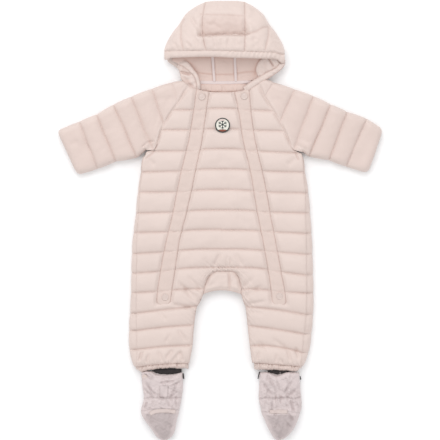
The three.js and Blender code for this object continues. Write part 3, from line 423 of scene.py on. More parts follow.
# %% Tables of the body
SEAM_GAP = 0.3
BACK_TOP = 10.7
FRONT_BASE = BACK_TOP + SEAM_GAP
SEAM_WALL = 3.6
SEAM_TOP = FRONT_BASE + SEAM_WALL
PUFF = 8.2
SCALLOP = 0.35
EDGE_GAP = 0.05
MIDDLE = 3.0
ARMPIT = 126.0
LINES = np.array([  # y at the right half's side, zip and inner edge, then at the left's, from inside out
    [255.4, 245.5, 244, 244, 245.5, 259.2], [210, 209.5, 213, 213, 210, 208],
    [172, 172, 174, 174, 171.5, 170], [131.5, 132, 136, 136, 132, 128], [92, 94, 97.6, 97.6, 94, 91.5],
    [54, 54, 58.6, 58.6, 54, 52], [14, 16, 20, 20, 16, 14], [-23, -21.5, -17.2, -18.2, -21, -25],
    [-63, -59, -54.4, -54.4, -59, -64.5], [-100, -95.5, -89, -89, -96, -104],
    [-137, -134, -130, -130, -135, -138], [-176, -169.5, -162.5, -163.5, -170, -179],
    [-209, -202.5, -198.5, -199.5, -207, -215.5], [-245, -239, -237, -238, -239.5, -251],
    [-278, -272, -271, -270, -273, -277],
])
SIDES = [  # y, right side's x and how far it wraps, left side's x and wrap
    [-279, -163.5, 5, 158, 5], [-265, -168.5, 10, 164, 9], [-242, -173, 15, 171, 14],
    [-197, -173, 14, 176, 14], [-165, -171, 11.5, 177.8, 13.4], [-130, -169.5, 10, 177.9, 13.2],
    [-83, -168.6, 10, 176.7, 12], [-37, -166.6, 8, 175.2, 11.2], [9, -160.8, 5.5, 172.2, 9],
    [54, -156.7, 4, 168.5, 6], [88, -151.7, 2.4, 163, 4], [111, -149.2, 1.4, 160.2, 2.2],
    [118, -147.4, 1.3, 158.8, 1.7], [126, -141.8, 1.2, 156.5, 1.2],
]
RAGLAN = {  # y, x
    "right": [
        [126, -141.8], [131, -138.6], [134, -127.5], [146, -119.5], [170, -112], [197, -98], [223, -80],
        [255.6, -60],
    ],
    "left": [
        [126, 156.5], [134, 140.5], [146, 132.8], [166, 124], [187, 113.5], [204, 103], [234, 85],
        [259.4, 72.2],
    ],
}
GUSSET_TOP = 9.17  # in channels down the body, as GUSSET_FOOT, PLACKET_END and ZIP_END are
GUSSET_FOOT = 10.3
INNER = {  # y, x
    "right": [
        [-283, -62], [-271, -58.5], [-238, -52.4], [-200, -49.4], [-165, -44], [-156, -38.5], [-142, -32.5],
        [-130, -30], [-119, -27.1], [-110, -23.4], [-104.7, -19.9], [-99.5, -13.5], [-96, -6],
    ],
    "left": [
        [-283, 66], [-271, 61.5], [-238, 56.6], [-200, 52.4], [-165, 48.4], [-156, 45], [-142, 40.8],
        [-130, 40.2], [-118, 38.3], [-110, 36.1], [-103, 32.4], [-99.3, 28.9], [-96, 22],
    ],
}
PLACKETS = [  # y, x of the right flap's outer and inner edge, then of the left flap's
    [-283, -112, -87, 118, 92], [-157, -120, -93, 125.5, 98], [-100, -114, -85.5, 117, 91.5],
    [-37, -102, -76, 105.5, 80.5], [8, -91, -64.5, 96.5, 71.5], [54, -82, -54, 88.5, 63.5],
    [93, -74, -46, 80.5, 57], [150, -60, -34, 67.5, 43.5], [190, -53, -28, 61, 37.5],
    [247, -44.5, -20, 55, 27],
]
PLACKET_END = 10.7
ZIP_END = 10.0
ZIP_OFFSET = 10.0
ZIP_SLOT = 7.0
OUTWARD = {"right": -1, "left": 1}
COLUMNS = {"right": (0, 1, 2), "left": (5, 4, 3)}
side_x = {"right": curve(SIDES, 1), "left": curve(SIDES, 3)}
side_wrap = {"right": curve(SIDES, 2), "left": curve(SIDES, 4)}
raglan_x = {side: curve(RAGLAN[side]) for side in OUTWARD}
inner_x = {side: curve(INNER[side]) for side in OUTWARD}
flap_outer = {"right": curve(PLACKETS, 1), "left": curve(PLACKETS, 3)}
flap_inner = {"right": curve(PLACKETS, 2), "left": curve(PLACKETS, 4)}


def line_y(place, column):
    """y of a place counted in channels, along one column of LINES, by proportion between lines."""
    return np.interp(place, np.arange(len(LINES)), LINES[:, column])


def run_along(path):
    """The distance run along a path at each of its points."""
    return np.concatenate([[0], np.cumsum(np.linalg.norm(np.diff(path, axis=0), axis=1))])


def rows_at(at, keys, rows):
    """Rows of a table at the places given, in proportion between its keys."""
    return np.stack([np.interp(at, keys, column) for column in np.transpose(rows)], axis=-1)


def dense(path, step=1.2):
    """The same path with points no further than about step apart."""
    run = run_along(path)
    return rows_at(np.linspace(0, run[-1], max(2, int(run[-1] / step))), run, path)


def distance_to(x, y, path):
    """Distance of every grid point from a seam, as the least distance from the seam's close points."""
    near = np.full(np.shape(x), 1e9)
    for px, py in path:
        near = np.minimum(near, (x - px) ** 2 + (y - py) ** 2)
    return np.sqrt(near)


def unit(vectors):
    """The same directions at length 1."""
    return vectors / np.maximum(np.linalg.norm(vectors, axis=-1, keepdims=True), 1e-9)


print("channels down the body:", len(LINES) - 1)

# %% [markdown]
# ## The front of the suit
#
# The front is cut in one piece from neck to hems, with a slanting zip in each half and a gusset let in at
# the crotch. It could be a box that is sculpted, but a grid whose rows follow the quilting puts every
# seam on an edge of the mesh. The halves and the strip between them are three grids of one function, the
# channel profile held down at the border, under the flaps and round the gusset.

# %% The front panel's surface
RAGLAN_TOP = SEAM_TOP + 4.4  # height at which sleeve and front meet
RAGLAN_REACH = 3.4
ARCH = dense([(inner_x["right"](y), y) for y in np.linspace(-283, -96, 90)]
             + [(inner_x["left"](y), y) for y in np.linspace(-96, -283, 90)], 1.5)
ARMPIT_SEAMS = [dense([[-119.7, 143.5], [-124, 134], [-129, 127], [-139, 118.5]]),
                dense([[139, 136], [144, 128], [148.5, 116]])]
FRONT_CREASES = [  # x0, y0, x1, y1, width, depth: drag lines at the crotch and hips, and soft dents
    [-43, -156, -84, -112, 4, 1.8], [-36, -150, -70, -126, 3, 1.4], [-36, -134, -62, -104, 3.5, 1.4],
    [-48, -166, -96, -158, 3.5, 1.5], [42, -148, 82, -122, 4, 1.6], [40, -130, 66, -106, 3.5, 1.4],
    [47, -160, 92, -152, 3.5, 1.5], [50, -172, 84, -178, 3.5, 1.2], [2, -60, -12, -88, 4, 1.6],
    [14, -64, 12, -90, 3, 0.9], [28, -62, 44, -86, 5, 1.4], [-30, -70, -24, -88, 4, 0.8],
    [18, -88, 21, -70, 2.5, 1.2], [-82, -206, -62, -230, 4, 1.5], [-92, -214, -104, -232, 3.5, 1.2],
    [-118, -172, -100, -190, 3.5, 1], [96, -222, 128, -244, 4, 1.2], [70, -228, 96, -250, 4, 0.9],
    [-155, -268, -146, -246, 3, 2.2], [-104, -264, -88, -244, 4, 2], [-70, -268, -76, -248, 3, 1.4],
    [70, -266, 74, -248, 3, 1.4], [112, -262, 120, -270, 3, 1.2], [-72, -246, -92, -270, 4, 1.9],
    [-118, -246, -108, -270, 3.5, 1.3], [-134, -252, -140, -270, 3, 1.3], [128, -244, 134, -268, 3.5, 1.6],
    [143, -240, 150, -264, 3.5, 1.8], [108, -252, 106, -270, 3, 1], [30, 8, 60, -8, 8, 0.7],
    [40, 40, 66, 28, 7, 0.6], [-6, 118, 26, 108, 9, 0.6], [146, 120, 128, 104, 5, 1.4],
    [-138, 118, -122, 104, 5, 1.4],
]


def front_frame(side, place):
    """Where the half's seams run at each place: edge, flap edges and inner edge x, and the three y."""
    sign = OUTWARD[side]
    y_side, y_zip, y_inner = (line_y(place, column) for column in COLUMNS[side])
    t = since_line(place)[1]
    below_armpit = side_x[side](y_side) - sign * side_wrap[side](y_side)
    sewn = np.where(y_side > ARMPIT, raglan_x[side](y_side), below_armpit)
    edge = sewn - sign * (EDGE_GAP + SCALLOP * (1 - swell(t)))
    end = inner_x[side](-95.5)
    inner = np.where(place > GUSSET_TOP + 1e-6, inner_x[side](y_inner), end)
    knot = np.where(place > GUSSET_TOP + 1e-6, inner, mix(MIDDLE, end, ramp(place, 7.5, GUSSET_TOP)))
    below = ramp(place, PLACKET_END - 0.9, PLACKET_END + 0.1)
    return edge, flap_outer[side](y_zip), flap_inner[side](y_zip), inner, knot, y_side, y_zip, y_inner, below


def along_line(x, frame_row):
    """y along a line of quilting: straight from the side to the zip, then a cubic that levels out. Below
    the zips the line is one parabola through its three places."""
    edge, outer, inner, _, knot, y0, y1, y2, below = frame_row
    zip_x = (outer + inner) / 2
    to_zip = np.clip((x - edge) / (zip_x - edge), 0, 1)
    to_knot = np.clip((x - zip_x) / (knot - zip_x), 0, 1)
    bent = mix(y0, y1, to_zip) + (y2 - y1) * (1 - (1 - to_knot) ** 3)
    s, z = (x - edge) / (knot - edge), (zip_x - edge) / (knot - edge)
    parabola = mix(y0, y2, s) + (y1 - mix(y0, y2, z)) * s * (1 - s) / (z * (1 - z))
    return mix(bent, parabola, below)


def front_height(side, x, y, place, frame_row):
    """Height of the front: the channel profile times a hold-down factor at the border and the arch and
    under the flaps, with the zip's slot cut in, plus the creases. Returns the height and the tint."""
    sign = OUTWARD[side]
    edge, outer, inner = frame_row[:3]
    depth = np.interp(place, np.arange(len(LINES) - 1) + 0.5, -np.diff(LINES[:, 1]))
    rise, tint = channel(x, place, depth, 11, PUFF)
    from_edge = sign * (edge - x)
    from_arch = distance_to(x, y, ARCH)
    under = ramp(sign * (outer - x), -8, 1.5) * ramp(sign * (x - inner), -8, 1.5)
    under *= 1 - ramp(place, PLACKET_END - 0.15, PLACKET_END + 0.15)
    hold = mix(1, 0.72, np.exp(-from_edge / 1.6)) * mix(1, 0.2, np.exp(-from_arch / 2.6))
    height = SEAM_TOP + rise * (hold * mix(1, 0.38, under)) + gathers(y, 3 * sign, from_edge, 31, 9.0, 6, 0.9)
    height += mix(1, 0.45, ramp(-y, 170, 210)) * gathers(x + y, 9, from_arch, 37, 9.0, 13, 3.0)
    height += 2.0 * creases(x, y, FRONT_CREASES)
    slot = sign * (outer - x) - ZIP_OFFSET
    open_slot = ramp(slot, -0.6, 0.6) * ramp(ZIP_SLOT - slot, -0.6, 0.6) * (place < ZIP_END)
    height = mix(height, FRONT_BASE + 0.9, open_slot)
    height = mix(height, RAGLAN_TOP, ramp(y, 127, 134) * bell(from_edge, RAGLAN_REACH))
    tint = np.maximum(tint * mix(1, 0.3, under), mix(0.75, 0.3, ramp(y, 180, 235)) * bell(from_edge, 1.4))
    pinch = np.minimum(*[distance_to(x, y, seam) for seam in ARMPIT_SEAMS])
    height -= 2.4 * bell(pinch, 1.8)
    tint = np.maximum(tint, 1.5 * bell(pinch, 1.5))
    return np.maximum(height, FRONT_BASE + 0.6), np.maximum(tint, bell(from_arch, 1.8))


def front_half(side, place, columns=112):
    """One half as a grid: rows are places, and columns run evenly from the side to the inner edge."""
    row = front_frame(side, place)
    x = mix(row[0], row[3], np.linspace(0, 1, columns))
    y = along_line(x, row)
    height, tint = front_height(side, x, y, place + 0 * x, row)
    return facing(points_of(x, y, height), tint, side == "left", axis=1)


places = np.unique(np.concatenate([channel_steps(0, 14, 22), [GUSSET_TOP]]))[:, None]
halves = [front_half(side, places) for side in OUTWARD]
above = places[places <= GUSSET_TOP + 1e-9][:, None]
strip_rows = [front_frame(side, above) for side in OUTWARD]
x = mix(halves[0][0][:len(above), -1:, 0], halves[1][0][:len(above), :1, 0], np.linspace(0, 1, 28))
y = np.where(x < MIDDLE, *[along_line(x, row) for row in strip_rows])
height, strip_tint = front_height("right", x, y, above + 0 * x, strip_rows[0])
strip = points_of(x, y, height)
front = piece("front_panel", [*halves, (strip, strip_tint)], shell_cloth, ["front"], base=FRONT_BASE)

# %% [markdown]
# ## The gusset
#
# A small arch of quilted cloth gives the child room to bend its legs. Its rows fan out between two curved
# seams, so it is a grid of its own between the same two curves, with one upright seam.

# %% Gusset
GUSSET_SEAM_X = 17.0
CROTCH_BOW = 7.5
GUSSET_CREASES = [[-20, -128, -4, -110, 4, 0.9], [2, -134, 4, -116, 3, 0.5], [-27, -136, -18, -122, 3, 0.7]]


def gusset_surface(rows=44, columns=84):
    """A grid between the two inner seams. Its lower edge bows up as a parabola. The height is a dome
    over the arch, pressed down along the upright seam."""
    place = np.linspace(GUSSET_TOP, GUSSET_FOOT, rows)[:, None]
    share = np.linspace(0, 1, columns)
    depth = (place - GUSSET_TOP) / (GUSSET_FOOT - GUSSET_TOP)
    y_right, y_left = line_y(place, 2), line_y(place, 3)
    x = mix(inner_x["right"](y_right) - 0.15, inner_x["left"](y_left) + 0.15, share)
    y = mix(y_right, y_left, share) + CROTCH_BOW * depth * 4 * share * (1 - share)
    upright = np.abs(x - GUSSET_SEAM_X - 1.5 * depth)
    border = np.minimum(distance_to(x, y, ARCH), 26 * (1 - depth))
    full = ramp(border, -1.5, 8) * mix(0.35, 1, ramp(upright, -0.5, 5))
    height = SEAM_TOP + 5.4 * full + 0.25 * noise(x, y, 14, 55)
    height += gathers(y, 5, upright, 57, 7, 4, 0.7) + creases(x, y, GUSSET_CREASES)
    return points_of(x, y, height), np.maximum(bell(border, 1.6), bell(upright, 1.5))


gusset = piece("gusset_panel", [gusset_surface()], shell_cloth, ["gusset"], base=FRONT_BASE)

# %% [markdown]
# ## The back of the suit
#
# From above, the back shows only where it wraps round the sides onto the front. So instead of a second
# full grid it is a profile carried round the outline: out from under the suit, round the fold, over the
# puff beside the front's seam, and flat inwards under the front.

# %% Back panel
BACK_PROFILE = [  # step, height, share of the rise, share of the seam's rise, inset, share of the wrap
    [0, 0, 0, 0, 5, 0], [1, 1.8, 0, 0, 1.2, 0], [2, 5, 0.2, 0, 0, 0], [3, 8.6, 0.6, 0, 0, 0.15],
    [4, 10.4, 1, 0, 0, 0.5], [5, 10.5, 0.75, 0.4, 0, 0.9], [5.6, 10.6, 0, 1, 0, 1.05],
    [6, 10.7, 0, 0, 0, 1.07],
]


def back_side(side, place):
    """The wrapped side: plan points, inward width, rise of the puff and of its seam, and the level aim."""
    sign = OUTWARD[side]
    y = line_y(place, COLUMNS[side][0])
    full = swell(since_line(place)[1])
    wrap = side_wrap[side](y)
    x = side_x[side](y) - sign * 1.2 * (1 - full)
    rise = (1.5 + 5.5 * full) * np.clip((wrap - 2) / 4, 0, 1) + 0.5 * noise(y, x, 21, 61)
    rise += gathers(y, np.round(place), np.abs(place - np.round(place)) * CHANNEL_LENGTH, 63)
    sewn = (4.4 + 5.2 * full) * np.clip((wrap - 2) / 3, 0, 1)
    aim = -sign * np.clip((ARMPIT - y) / 15, 0, 1)
    return np.stack([x, y, np.maximum(1.1, wrap - 0.5 * (1 - full)), rise, sewn, aim], axis=-1)


def plain(x, y):
    """Outline points where the back has no puff of its own beside the front."""
    x, y, none = np.broadcast_arrays(x, y, 0.0)
    return np.stack([x, y, none + 5.5, none, none, none], axis=-1)


def back_outline():
    """The whole outline, anticlockwise: right raglan and side, hem, inner leg, crotch, and up the left."""
    down, legs = channel_steps(3.12, 14, 14), channel_steps(GUSSET_FOOT + 0.1, 13.85, 12)
    share = np.linspace(0, 1, 12)[1:-1]
    runs = {}
    for side in OUTWARD:
        y = np.linspace(258, 128, 60)
        seam = plain(raglan_x[side](y) - OUTWARD[side] * 0.5, y - 0.5)
        y = line_y(legs, COLUMNS[side][2])
        leg = plain(inner_x[side](y), y)
        outer = back_side(side, down)
        low = mix(outer[-1, :2], leg[-1, :2], share[:, None])
        runs[side] = seam, outer, plain(low[:, 0], low[:, 1] + 4 * np.sin(np.pi * share)), leg
    first, last = runs["right"][3][0], runs["left"][3][0]
    share = np.linspace(0.05, 0.95, 24)
    arch = 15 * (4 * share * (1 - share)) ** 0.6
    crotch = plain(mix(first[0], last[0], share), mix(first[1], last[1], share) + arch)
    x = np.linspace(68, -56, 30)
    right, left = runs["right"], runs["left"]
    return np.concatenate([*right[:3], right[3][::-1], crotch, left[3], *[run[::-1] for run in left[2::-1]],
                           plain(x, 256.8 + 0.029 * x)])


def inward_of(points, spread=5):
    """The direction into the outline at each point: the chord between its neighbours turned left, then
    averaged over a few points each way, so that the profile fans round a corner without folding."""
    chord = np.roll(points, -1, axis=0) - np.roll(points, 1, axis=0)
    normal = unit(np.stack([-chord[:, 1], chord[:, 0]], axis=-1))
    return unit(sum(np.roll(normal, shift, axis=0) for shift in range(-spread, spread + 1)))


outline = back_outline()
x, y, wrap, puff_rise, seam_rise, aim = outline.T
inward = unit(inward_of(outline[:, :2]) * (1 - np.abs(aim))[:, None] + np.outer(aim, [1, 0]))
level = np.linspace(0, 6, 31)[:, None]
height, rise_share, seam_share, inset, wrap_share = (curve(BACK_PROFILE, k)(level) for k in (1, 2, 3, 4, 5))
reach_in = inset + wrap_share * wrap
height = np.maximum(height + rise_share * puff_rise + seam_share * seam_rise, 0)
loops = points_of(x + reach_in * inward[:, 0], y + reach_in * inward[:, 1], height)
nearest_line = line_y(np.round(np.interp(-y, -LINES[:, 0], np.arange(len(LINES)))), 0)
back_tint = np.maximum(bell(nearest_line - y, 1.8) * ramp(level, 2, 4), 0.5 * ramp(level, 5.3, 5.8))
back = piece("back_panel", [(loops, back_tint)], shell_cloth, ["back"], wrap=True)

# %% [markdown]
# ## Zips, flaps and press studs
#
# Two zips run down the front, each under a plain flap that is sewn along its inner edge and free along
# its outer one. The teeth are one block copied along a path: the copies are worked out as one array and
# make a single mesh.

# %% Flaps over the zips
FLAP_WALL = 1.8
FLAP_CORNERS = (4.0, 11.0)  # radius at the neck and at the foot


def corner_inset(radius, distance):
    """How far a corner rounded by a quarter circle comes in, at a distance from the end."""
    return radius - np.sqrt(np.maximum(radius ** 2 - np.maximum(radius - distance, 0) ** 2, 0))


def flap_surface(side, columns=34):
    """A strip between the flap's two edges. Both ends are rounded: near an end the edges come in by a
    quarter circle. The height is a softened echo of the channels below. Faint dents cross it where lines
    of quilting pass under, and its outer edge curls."""
    sign = OUTWARD[side]
    place = channel_steps(-0.06, PLACKET_END, 18)[:, None]
    past_neck = CHANNEL_LENGTH * np.minimum(place, 0)
    row = front_frame(side, np.maximum(place, 0))
    y_middle = row[6] - past_neck
    ends = np.minimum(y_middle - y_middle.min(), y_middle.max() - y_middle)
    corner = np.where(y_middle > 0, *FLAP_CORNERS)
    back_in = corner_inset(corner, ends)
    outer, inner = row[1] - sign * back_in, row[2] + sign * 0.7 * back_in
    x = mix(outer, inner, np.linspace(0, 1, columns))
    y = along_line(x, row) - past_neck
    line = np.round(place)
    from_outer, from_inner = np.abs(x - outer), np.abs(x - inner)
    away = np.abs(place - line) * CHANNEL_LENGTH + 0.25 * (from_outer - 12)
    arc = swell(np.clip(since_line(place)[1], 0, 1))
    height = SEAM_TOP + 0.4 * PUFF * mix(0.5, 1, arc) + 0.4 + FLAP_WALL
    height = height + 0.25 * noise(x, y, 16, 71) + 0.12 * noise(x, y, 6, 72)
    height -= (0.55 + 0.35 * noise(line * 57, 0 * x + sign * 30, 30, 73)) * bell(away, 2.2)
    height -= 1.0 * np.exp(-from_outer / 1.6) + 1.6 * np.exp(-from_inner / 1.4) + 1.0 * np.exp(-ends / 1.4)
    height += 0.35 * bell(from_inner - 4.2, 1.6)
    # The tint paints shade: darker in the dents where quilting passes under, and along both edges and the
    # ends, where the flap falls away.
    tint = np.maximum(0.4 * bell(away, 1.3), bell(np.minimum(np.minimum(from_outer, from_inner), ends), 1.5))
    return facing(points_of(x, y, height), tint, side == "left", axis=1)


flaps = {}
for side in OUTWARD:
    surface = flap_surface(side)
    flaps[side] = surface[0]
    made = piece(f"flap_{side}", [surface], flap_cloth, [f"placket_{side}"], closed=False, wall=FLAP_WALL)

# %% Zips under the flaps
ZIP_TOP = FRONT_BASE + 1.7
ZIP_TAPE = 10.4
ZIP_PITCH = 1.3
TOOTH = (0.45, 1.5, 0.8)  # half its size along the zip, across it and upwards
BLOCK = np.array([[x, y, z] for z in (-1, 1) for x, y in SQUARE])
BLOCK_FACES = np.array([[0, 3, 2, 1], [4, 5, 6, 7], [0, 1, 5, 4], [1, 2, 6, 5], [2, 3, 7, 6], [3, 0, 4, 7]])


def zip_teeth(name, path):
    """Blocks at even steps along a path, set to its left and right in turn. A block's x runs along the
    path, its y to the left and its z up."""
    run = run_along(path)
    at = np.arange(ZIP_PITCH / 2, run[-1], ZIP_PITCH)
    tangents = unit(rows_at(at + 0.3, run, path) - rows_at(at - 0.3, run, path))
    left = points_of(-tangents[:, 1], tangents[:, 0], 0)
    spots = rows_at(at, run, path) + left * (0.9 * np.where(np.arange(len(at)) % 2, 1, -1))[:, None]
    left = unit(left)
    axes = np.stack([tangents, left, np.cross(tangents, left)], axis=1)
    mesh = bpy.data.meshes.new(name)
    corners = spots[:, None, :] + (BLOCK * TOOTH) @ axes
    faces = BLOCK_FACES[:, None, :] + len(BLOCK) * np.arange(len(at))[None, :, None]
    mesh.from_pydata((corners.reshape(-1, 3) * MM).tolist(), [], faces.reshape(-1, 4).tolist())
    declare(name, mesh, lining_cloth)


for side, sign in OUTWARD.items():
    row = front_frame(side, channel_steps(0.02, ZIP_END - 0.05, 8)[:, None])
    middle = row[1] - sign * (ZIP_OFFSET + ZIP_SLOT / 2)
    x = middle + np.linspace(-1, 1, 9) * ZIP_TAPE / 2
    tape = points_of(x, along_line(x, row), ZIP_TOP)
    made = piece(f"zip_tape_{side}", [(tape, 0.0)], lining_cloth, [f"zip_{side}"], closed=False, wall=0.5)
    zip_teeth(f"zip_teeth_{side}", points_of(middle, along_line(middle, row), ZIP_TOP + 0.9)[::-1, 0])

# %% [markdown]
# ### Press studs
#
# A press stud's cap is turned work: one profile spun round an axis. The profile has a rim, a shallow
# ring-shaped dish and a flat middle, which is what catches the light.

# %% Studs
stud_plastic = new_material("stud_pink", {"Roughness": 0.4, "Coat Weight": 0.15}, "snap_plastic")
place = add(stud_plastic, "TexCoord", "Object")
mottle = add(stud_plastic, "TexNoise", "Fac", {"Scale": 300, "Vector": place})
shades = {"A": (0.5985, 0.494, 0.456, 1), "B": (0.63, 0.52, 0.48, 1), "Factor": mottle}
tone = add(stud_plastic, "Mix", "Result", shades, data_type="RGBA")
bump = add(stud_plastic, "Bump", "Normal", {"Strength": 0.1, "Distance": 0.1 * MM, "Height": mottle})
feed(stud_plastic.node_tree.nodes["Principled BSDF"], {"Base Color": tone, "Normal": bump})
STUD_PROFILE = np.array([  # radius, height
    [0.02, 2.1], [2.2, 2.1], [3.2, 1.95], [3.9, 1.75], [4.7, 2.0], [5.4, 2.3], [5.9, 2.3], [6.4, 1.9],
    [6.7, 1.2], [6.75, 0.4], [6.2, 0.0], [0.02, 0.0]])
STUDS = {
    "top_right": ("right", -34.6, 235), "top_left": ("left", 45.9, 236),
    "bottom_right": ("right", -104, -145), "bottom_left": ("left", 113, -143.5),
}


def top_of(grid, x, y, reach=3.0):
    """Height of a made surface near a plan point: the mean of its face points within reach."""
    near = (np.hypot(grid[..., 0] - x, grid[..., 1] - y) < reach) & (grid[..., 2] > 9)
    return grid[..., 2][near].mean()


def spun(profile, x, y, z, turns=56):
    """Rows of (radius, height) spun round the upright axis through x, y: a grid that wraps round."""
    angle = np.linspace(0, 2 * np.pi, turns, endpoint=False)
    radius, rise = profile[:, 0:1], profile[:, 1:2]
    return points_of(x + radius * np.cos(angle), y + radius * np.sin(angle), z + rise)


for name, (side, x, y) in STUDS.items():
    cap = spun(STUD_PROFILE, x, y, top_of(flaps[side], x, y, 5.5) - (0.3 if "top" in name else 1.1))
    piece(f"stud_{name}", [(cap, 0.0)], stud_plastic, [f"snap_{name}"], wrap=True)

# %% [markdown]
# ## The sleeves
#
# A sleeve lies flat as a folded tube, its end closed like a mitt. A cloth simulation could inflate it, but
# its quilting would drift off the seams that it meets. Instead each ring of the tube is a flattened loop:
# flat below, rolled over at the folds, and swollen on top by the same channel profile as the front.

# %% Sleeve tables
SLEEVES = {  # x and y on the fold along the top, then on the other edge, one row a line of quilting
    "right": np.array([
        [-72, 266, -60, 255.6], [-91.8, 263.5, -80, 223], [-129.2, 251.4, -105.7, 181.5],
        [-169, 236.2, -127.5, 134], [-203, 221, -157.7, 118.6], [-234.5, 202.6, -197.6, 111.6],
        [-267, 189, -232, 97.6], [-310.5, 170.6, -271.5, 86.5],
    ]),
    "left": np.array([
        [87.4, 268.6, 72.2, 259.4], [101.7, 263.6, 85, 234], [142.5, 250.2, 113.5, 187],
        [177.7, 237.4, 140.5, 134], [210.4, 221.6, 168.2, 121.2], [242, 207.4, 207, 114],
        [278.5, 194.6, 239, 102], [310.5, 173.5, 281.5, 89.6],
    ]),
}
SLEEVE_PUFF = 8.5
SLEEVE_SPAN = 110.0  # a usual ring's width, along which its noise runs
SLEEVE_TUCK = 3.6 * SCALLOP
MITT_TOP = 20.0
NOTCH = 3.25
LAST_LINE = 6
ARMPIT_NOTCH = {"right": (-140.6, 133.4), "left": (157.7, 129.6)}
SLEEVE_CREASES = {
    "right": [
        [-84, 231, -128, 229, 6, 1.6], [-148, 139, -136, 149.5, 1.9, 2.8],
        [-138, 149.3, -124, 150.5, 1.9, 2.8], [-136.5, 143, -132, 134, 1.6, 2.6],
        [-122, 162, -118, 146, 2.5, 1.6], [-143, 162, -137, 152, 2.5, 1.2], [-268, 150, -284, 144, 6, 1.8],
        [-210, 176, -222, 168, 6, 0.8], [-104, 214, -92, 238, 6, 0.9],
    ],
    "left": [
        [96, 232, 118, 226, 6, 1], [142, 146, 168, 132, 3.5, 1.5], [146, 156, 176, 146, 4, 1],
        [138, 168, 152, 190, 5, 0.7], [262, 146, 276, 138, 7, 0.6], [120, 208, 108, 236, 6, 0.9],
    ],
}
INSETS = np.array([6, 3, 1.5, 0.4])  # where a rolled edge goes under: mm in, and share of its height
LEVELS = np.array([0, 0.05, 0.3, 0.65])
ROLL = 15.0  # width of a rolled edge, the share of the height at which it starts, and the width of the
ROLL_START = 0.36  # narrowest tube that has it in full
FULL_WIDTH = 45.0

# %% Sleeve surface


def rolled(distance, width, start):
    """Share of the full height at a distance from an edge: start at the edge, 1 from `width` inwards,
    along a quarter of a rounded square."""
    t = np.clip(distance / width, 0, 1)
    return start + (1 - start) * np.power(1 - np.power(1 - t, 2.3), 1 / 2.3)


def spaced(columns):
    """Shares across a ring, closer together towards both edges: an even step mixed with a cosine."""
    even = np.linspace(0, 1, columns)
    return mix(even, 0.5 - 0.5 * np.cos(np.pi * even), 0.6)


def sleeve_ends(side, v):
    """The two plan points of each ring: on the fold along the top, and on the raglan seam or, past the
    armpit, the fold along the bottom. Lines of quilting pull both in a little."""
    table = SLEEVES[side]
    top, low = rows_at(v, np.arange(8), table[:, :2]), rows_at(v, np.arange(8), table[:, 2:])
    seam = np.stack([raglan_x[side](low[:, 1]) - OUTWARD[side] * 0.25, low[:, 1]], axis=-1)
    start = [raglan_x[side](table[3, 3]) - OUTWARD[side] * 0.25, table[3, 3]]
    free = rows_at(v, [3, NOTCH, 4, 5, 6, 7], [start, ARMPIT_NOTCH[side], *table[4:, 2:]])
    low = np.where(v[:, None] <= 3, seam, free)
    tuck = SLEEVE_TUCK * (1 - swell(since_line(v)[1]))
    mitt_tuck = SLEEVE_TUCK * (1 - ramp(v, LAST_LINE, LAST_LINE + 0.3))
    tuck = np.where(v > LAST_LINE, np.minimum(tuck, mitt_tuck), tuck)
    along = unit(low - top) * tuck[:, None]
    return top + along, low - along * (v > NOTCH)[:, None]


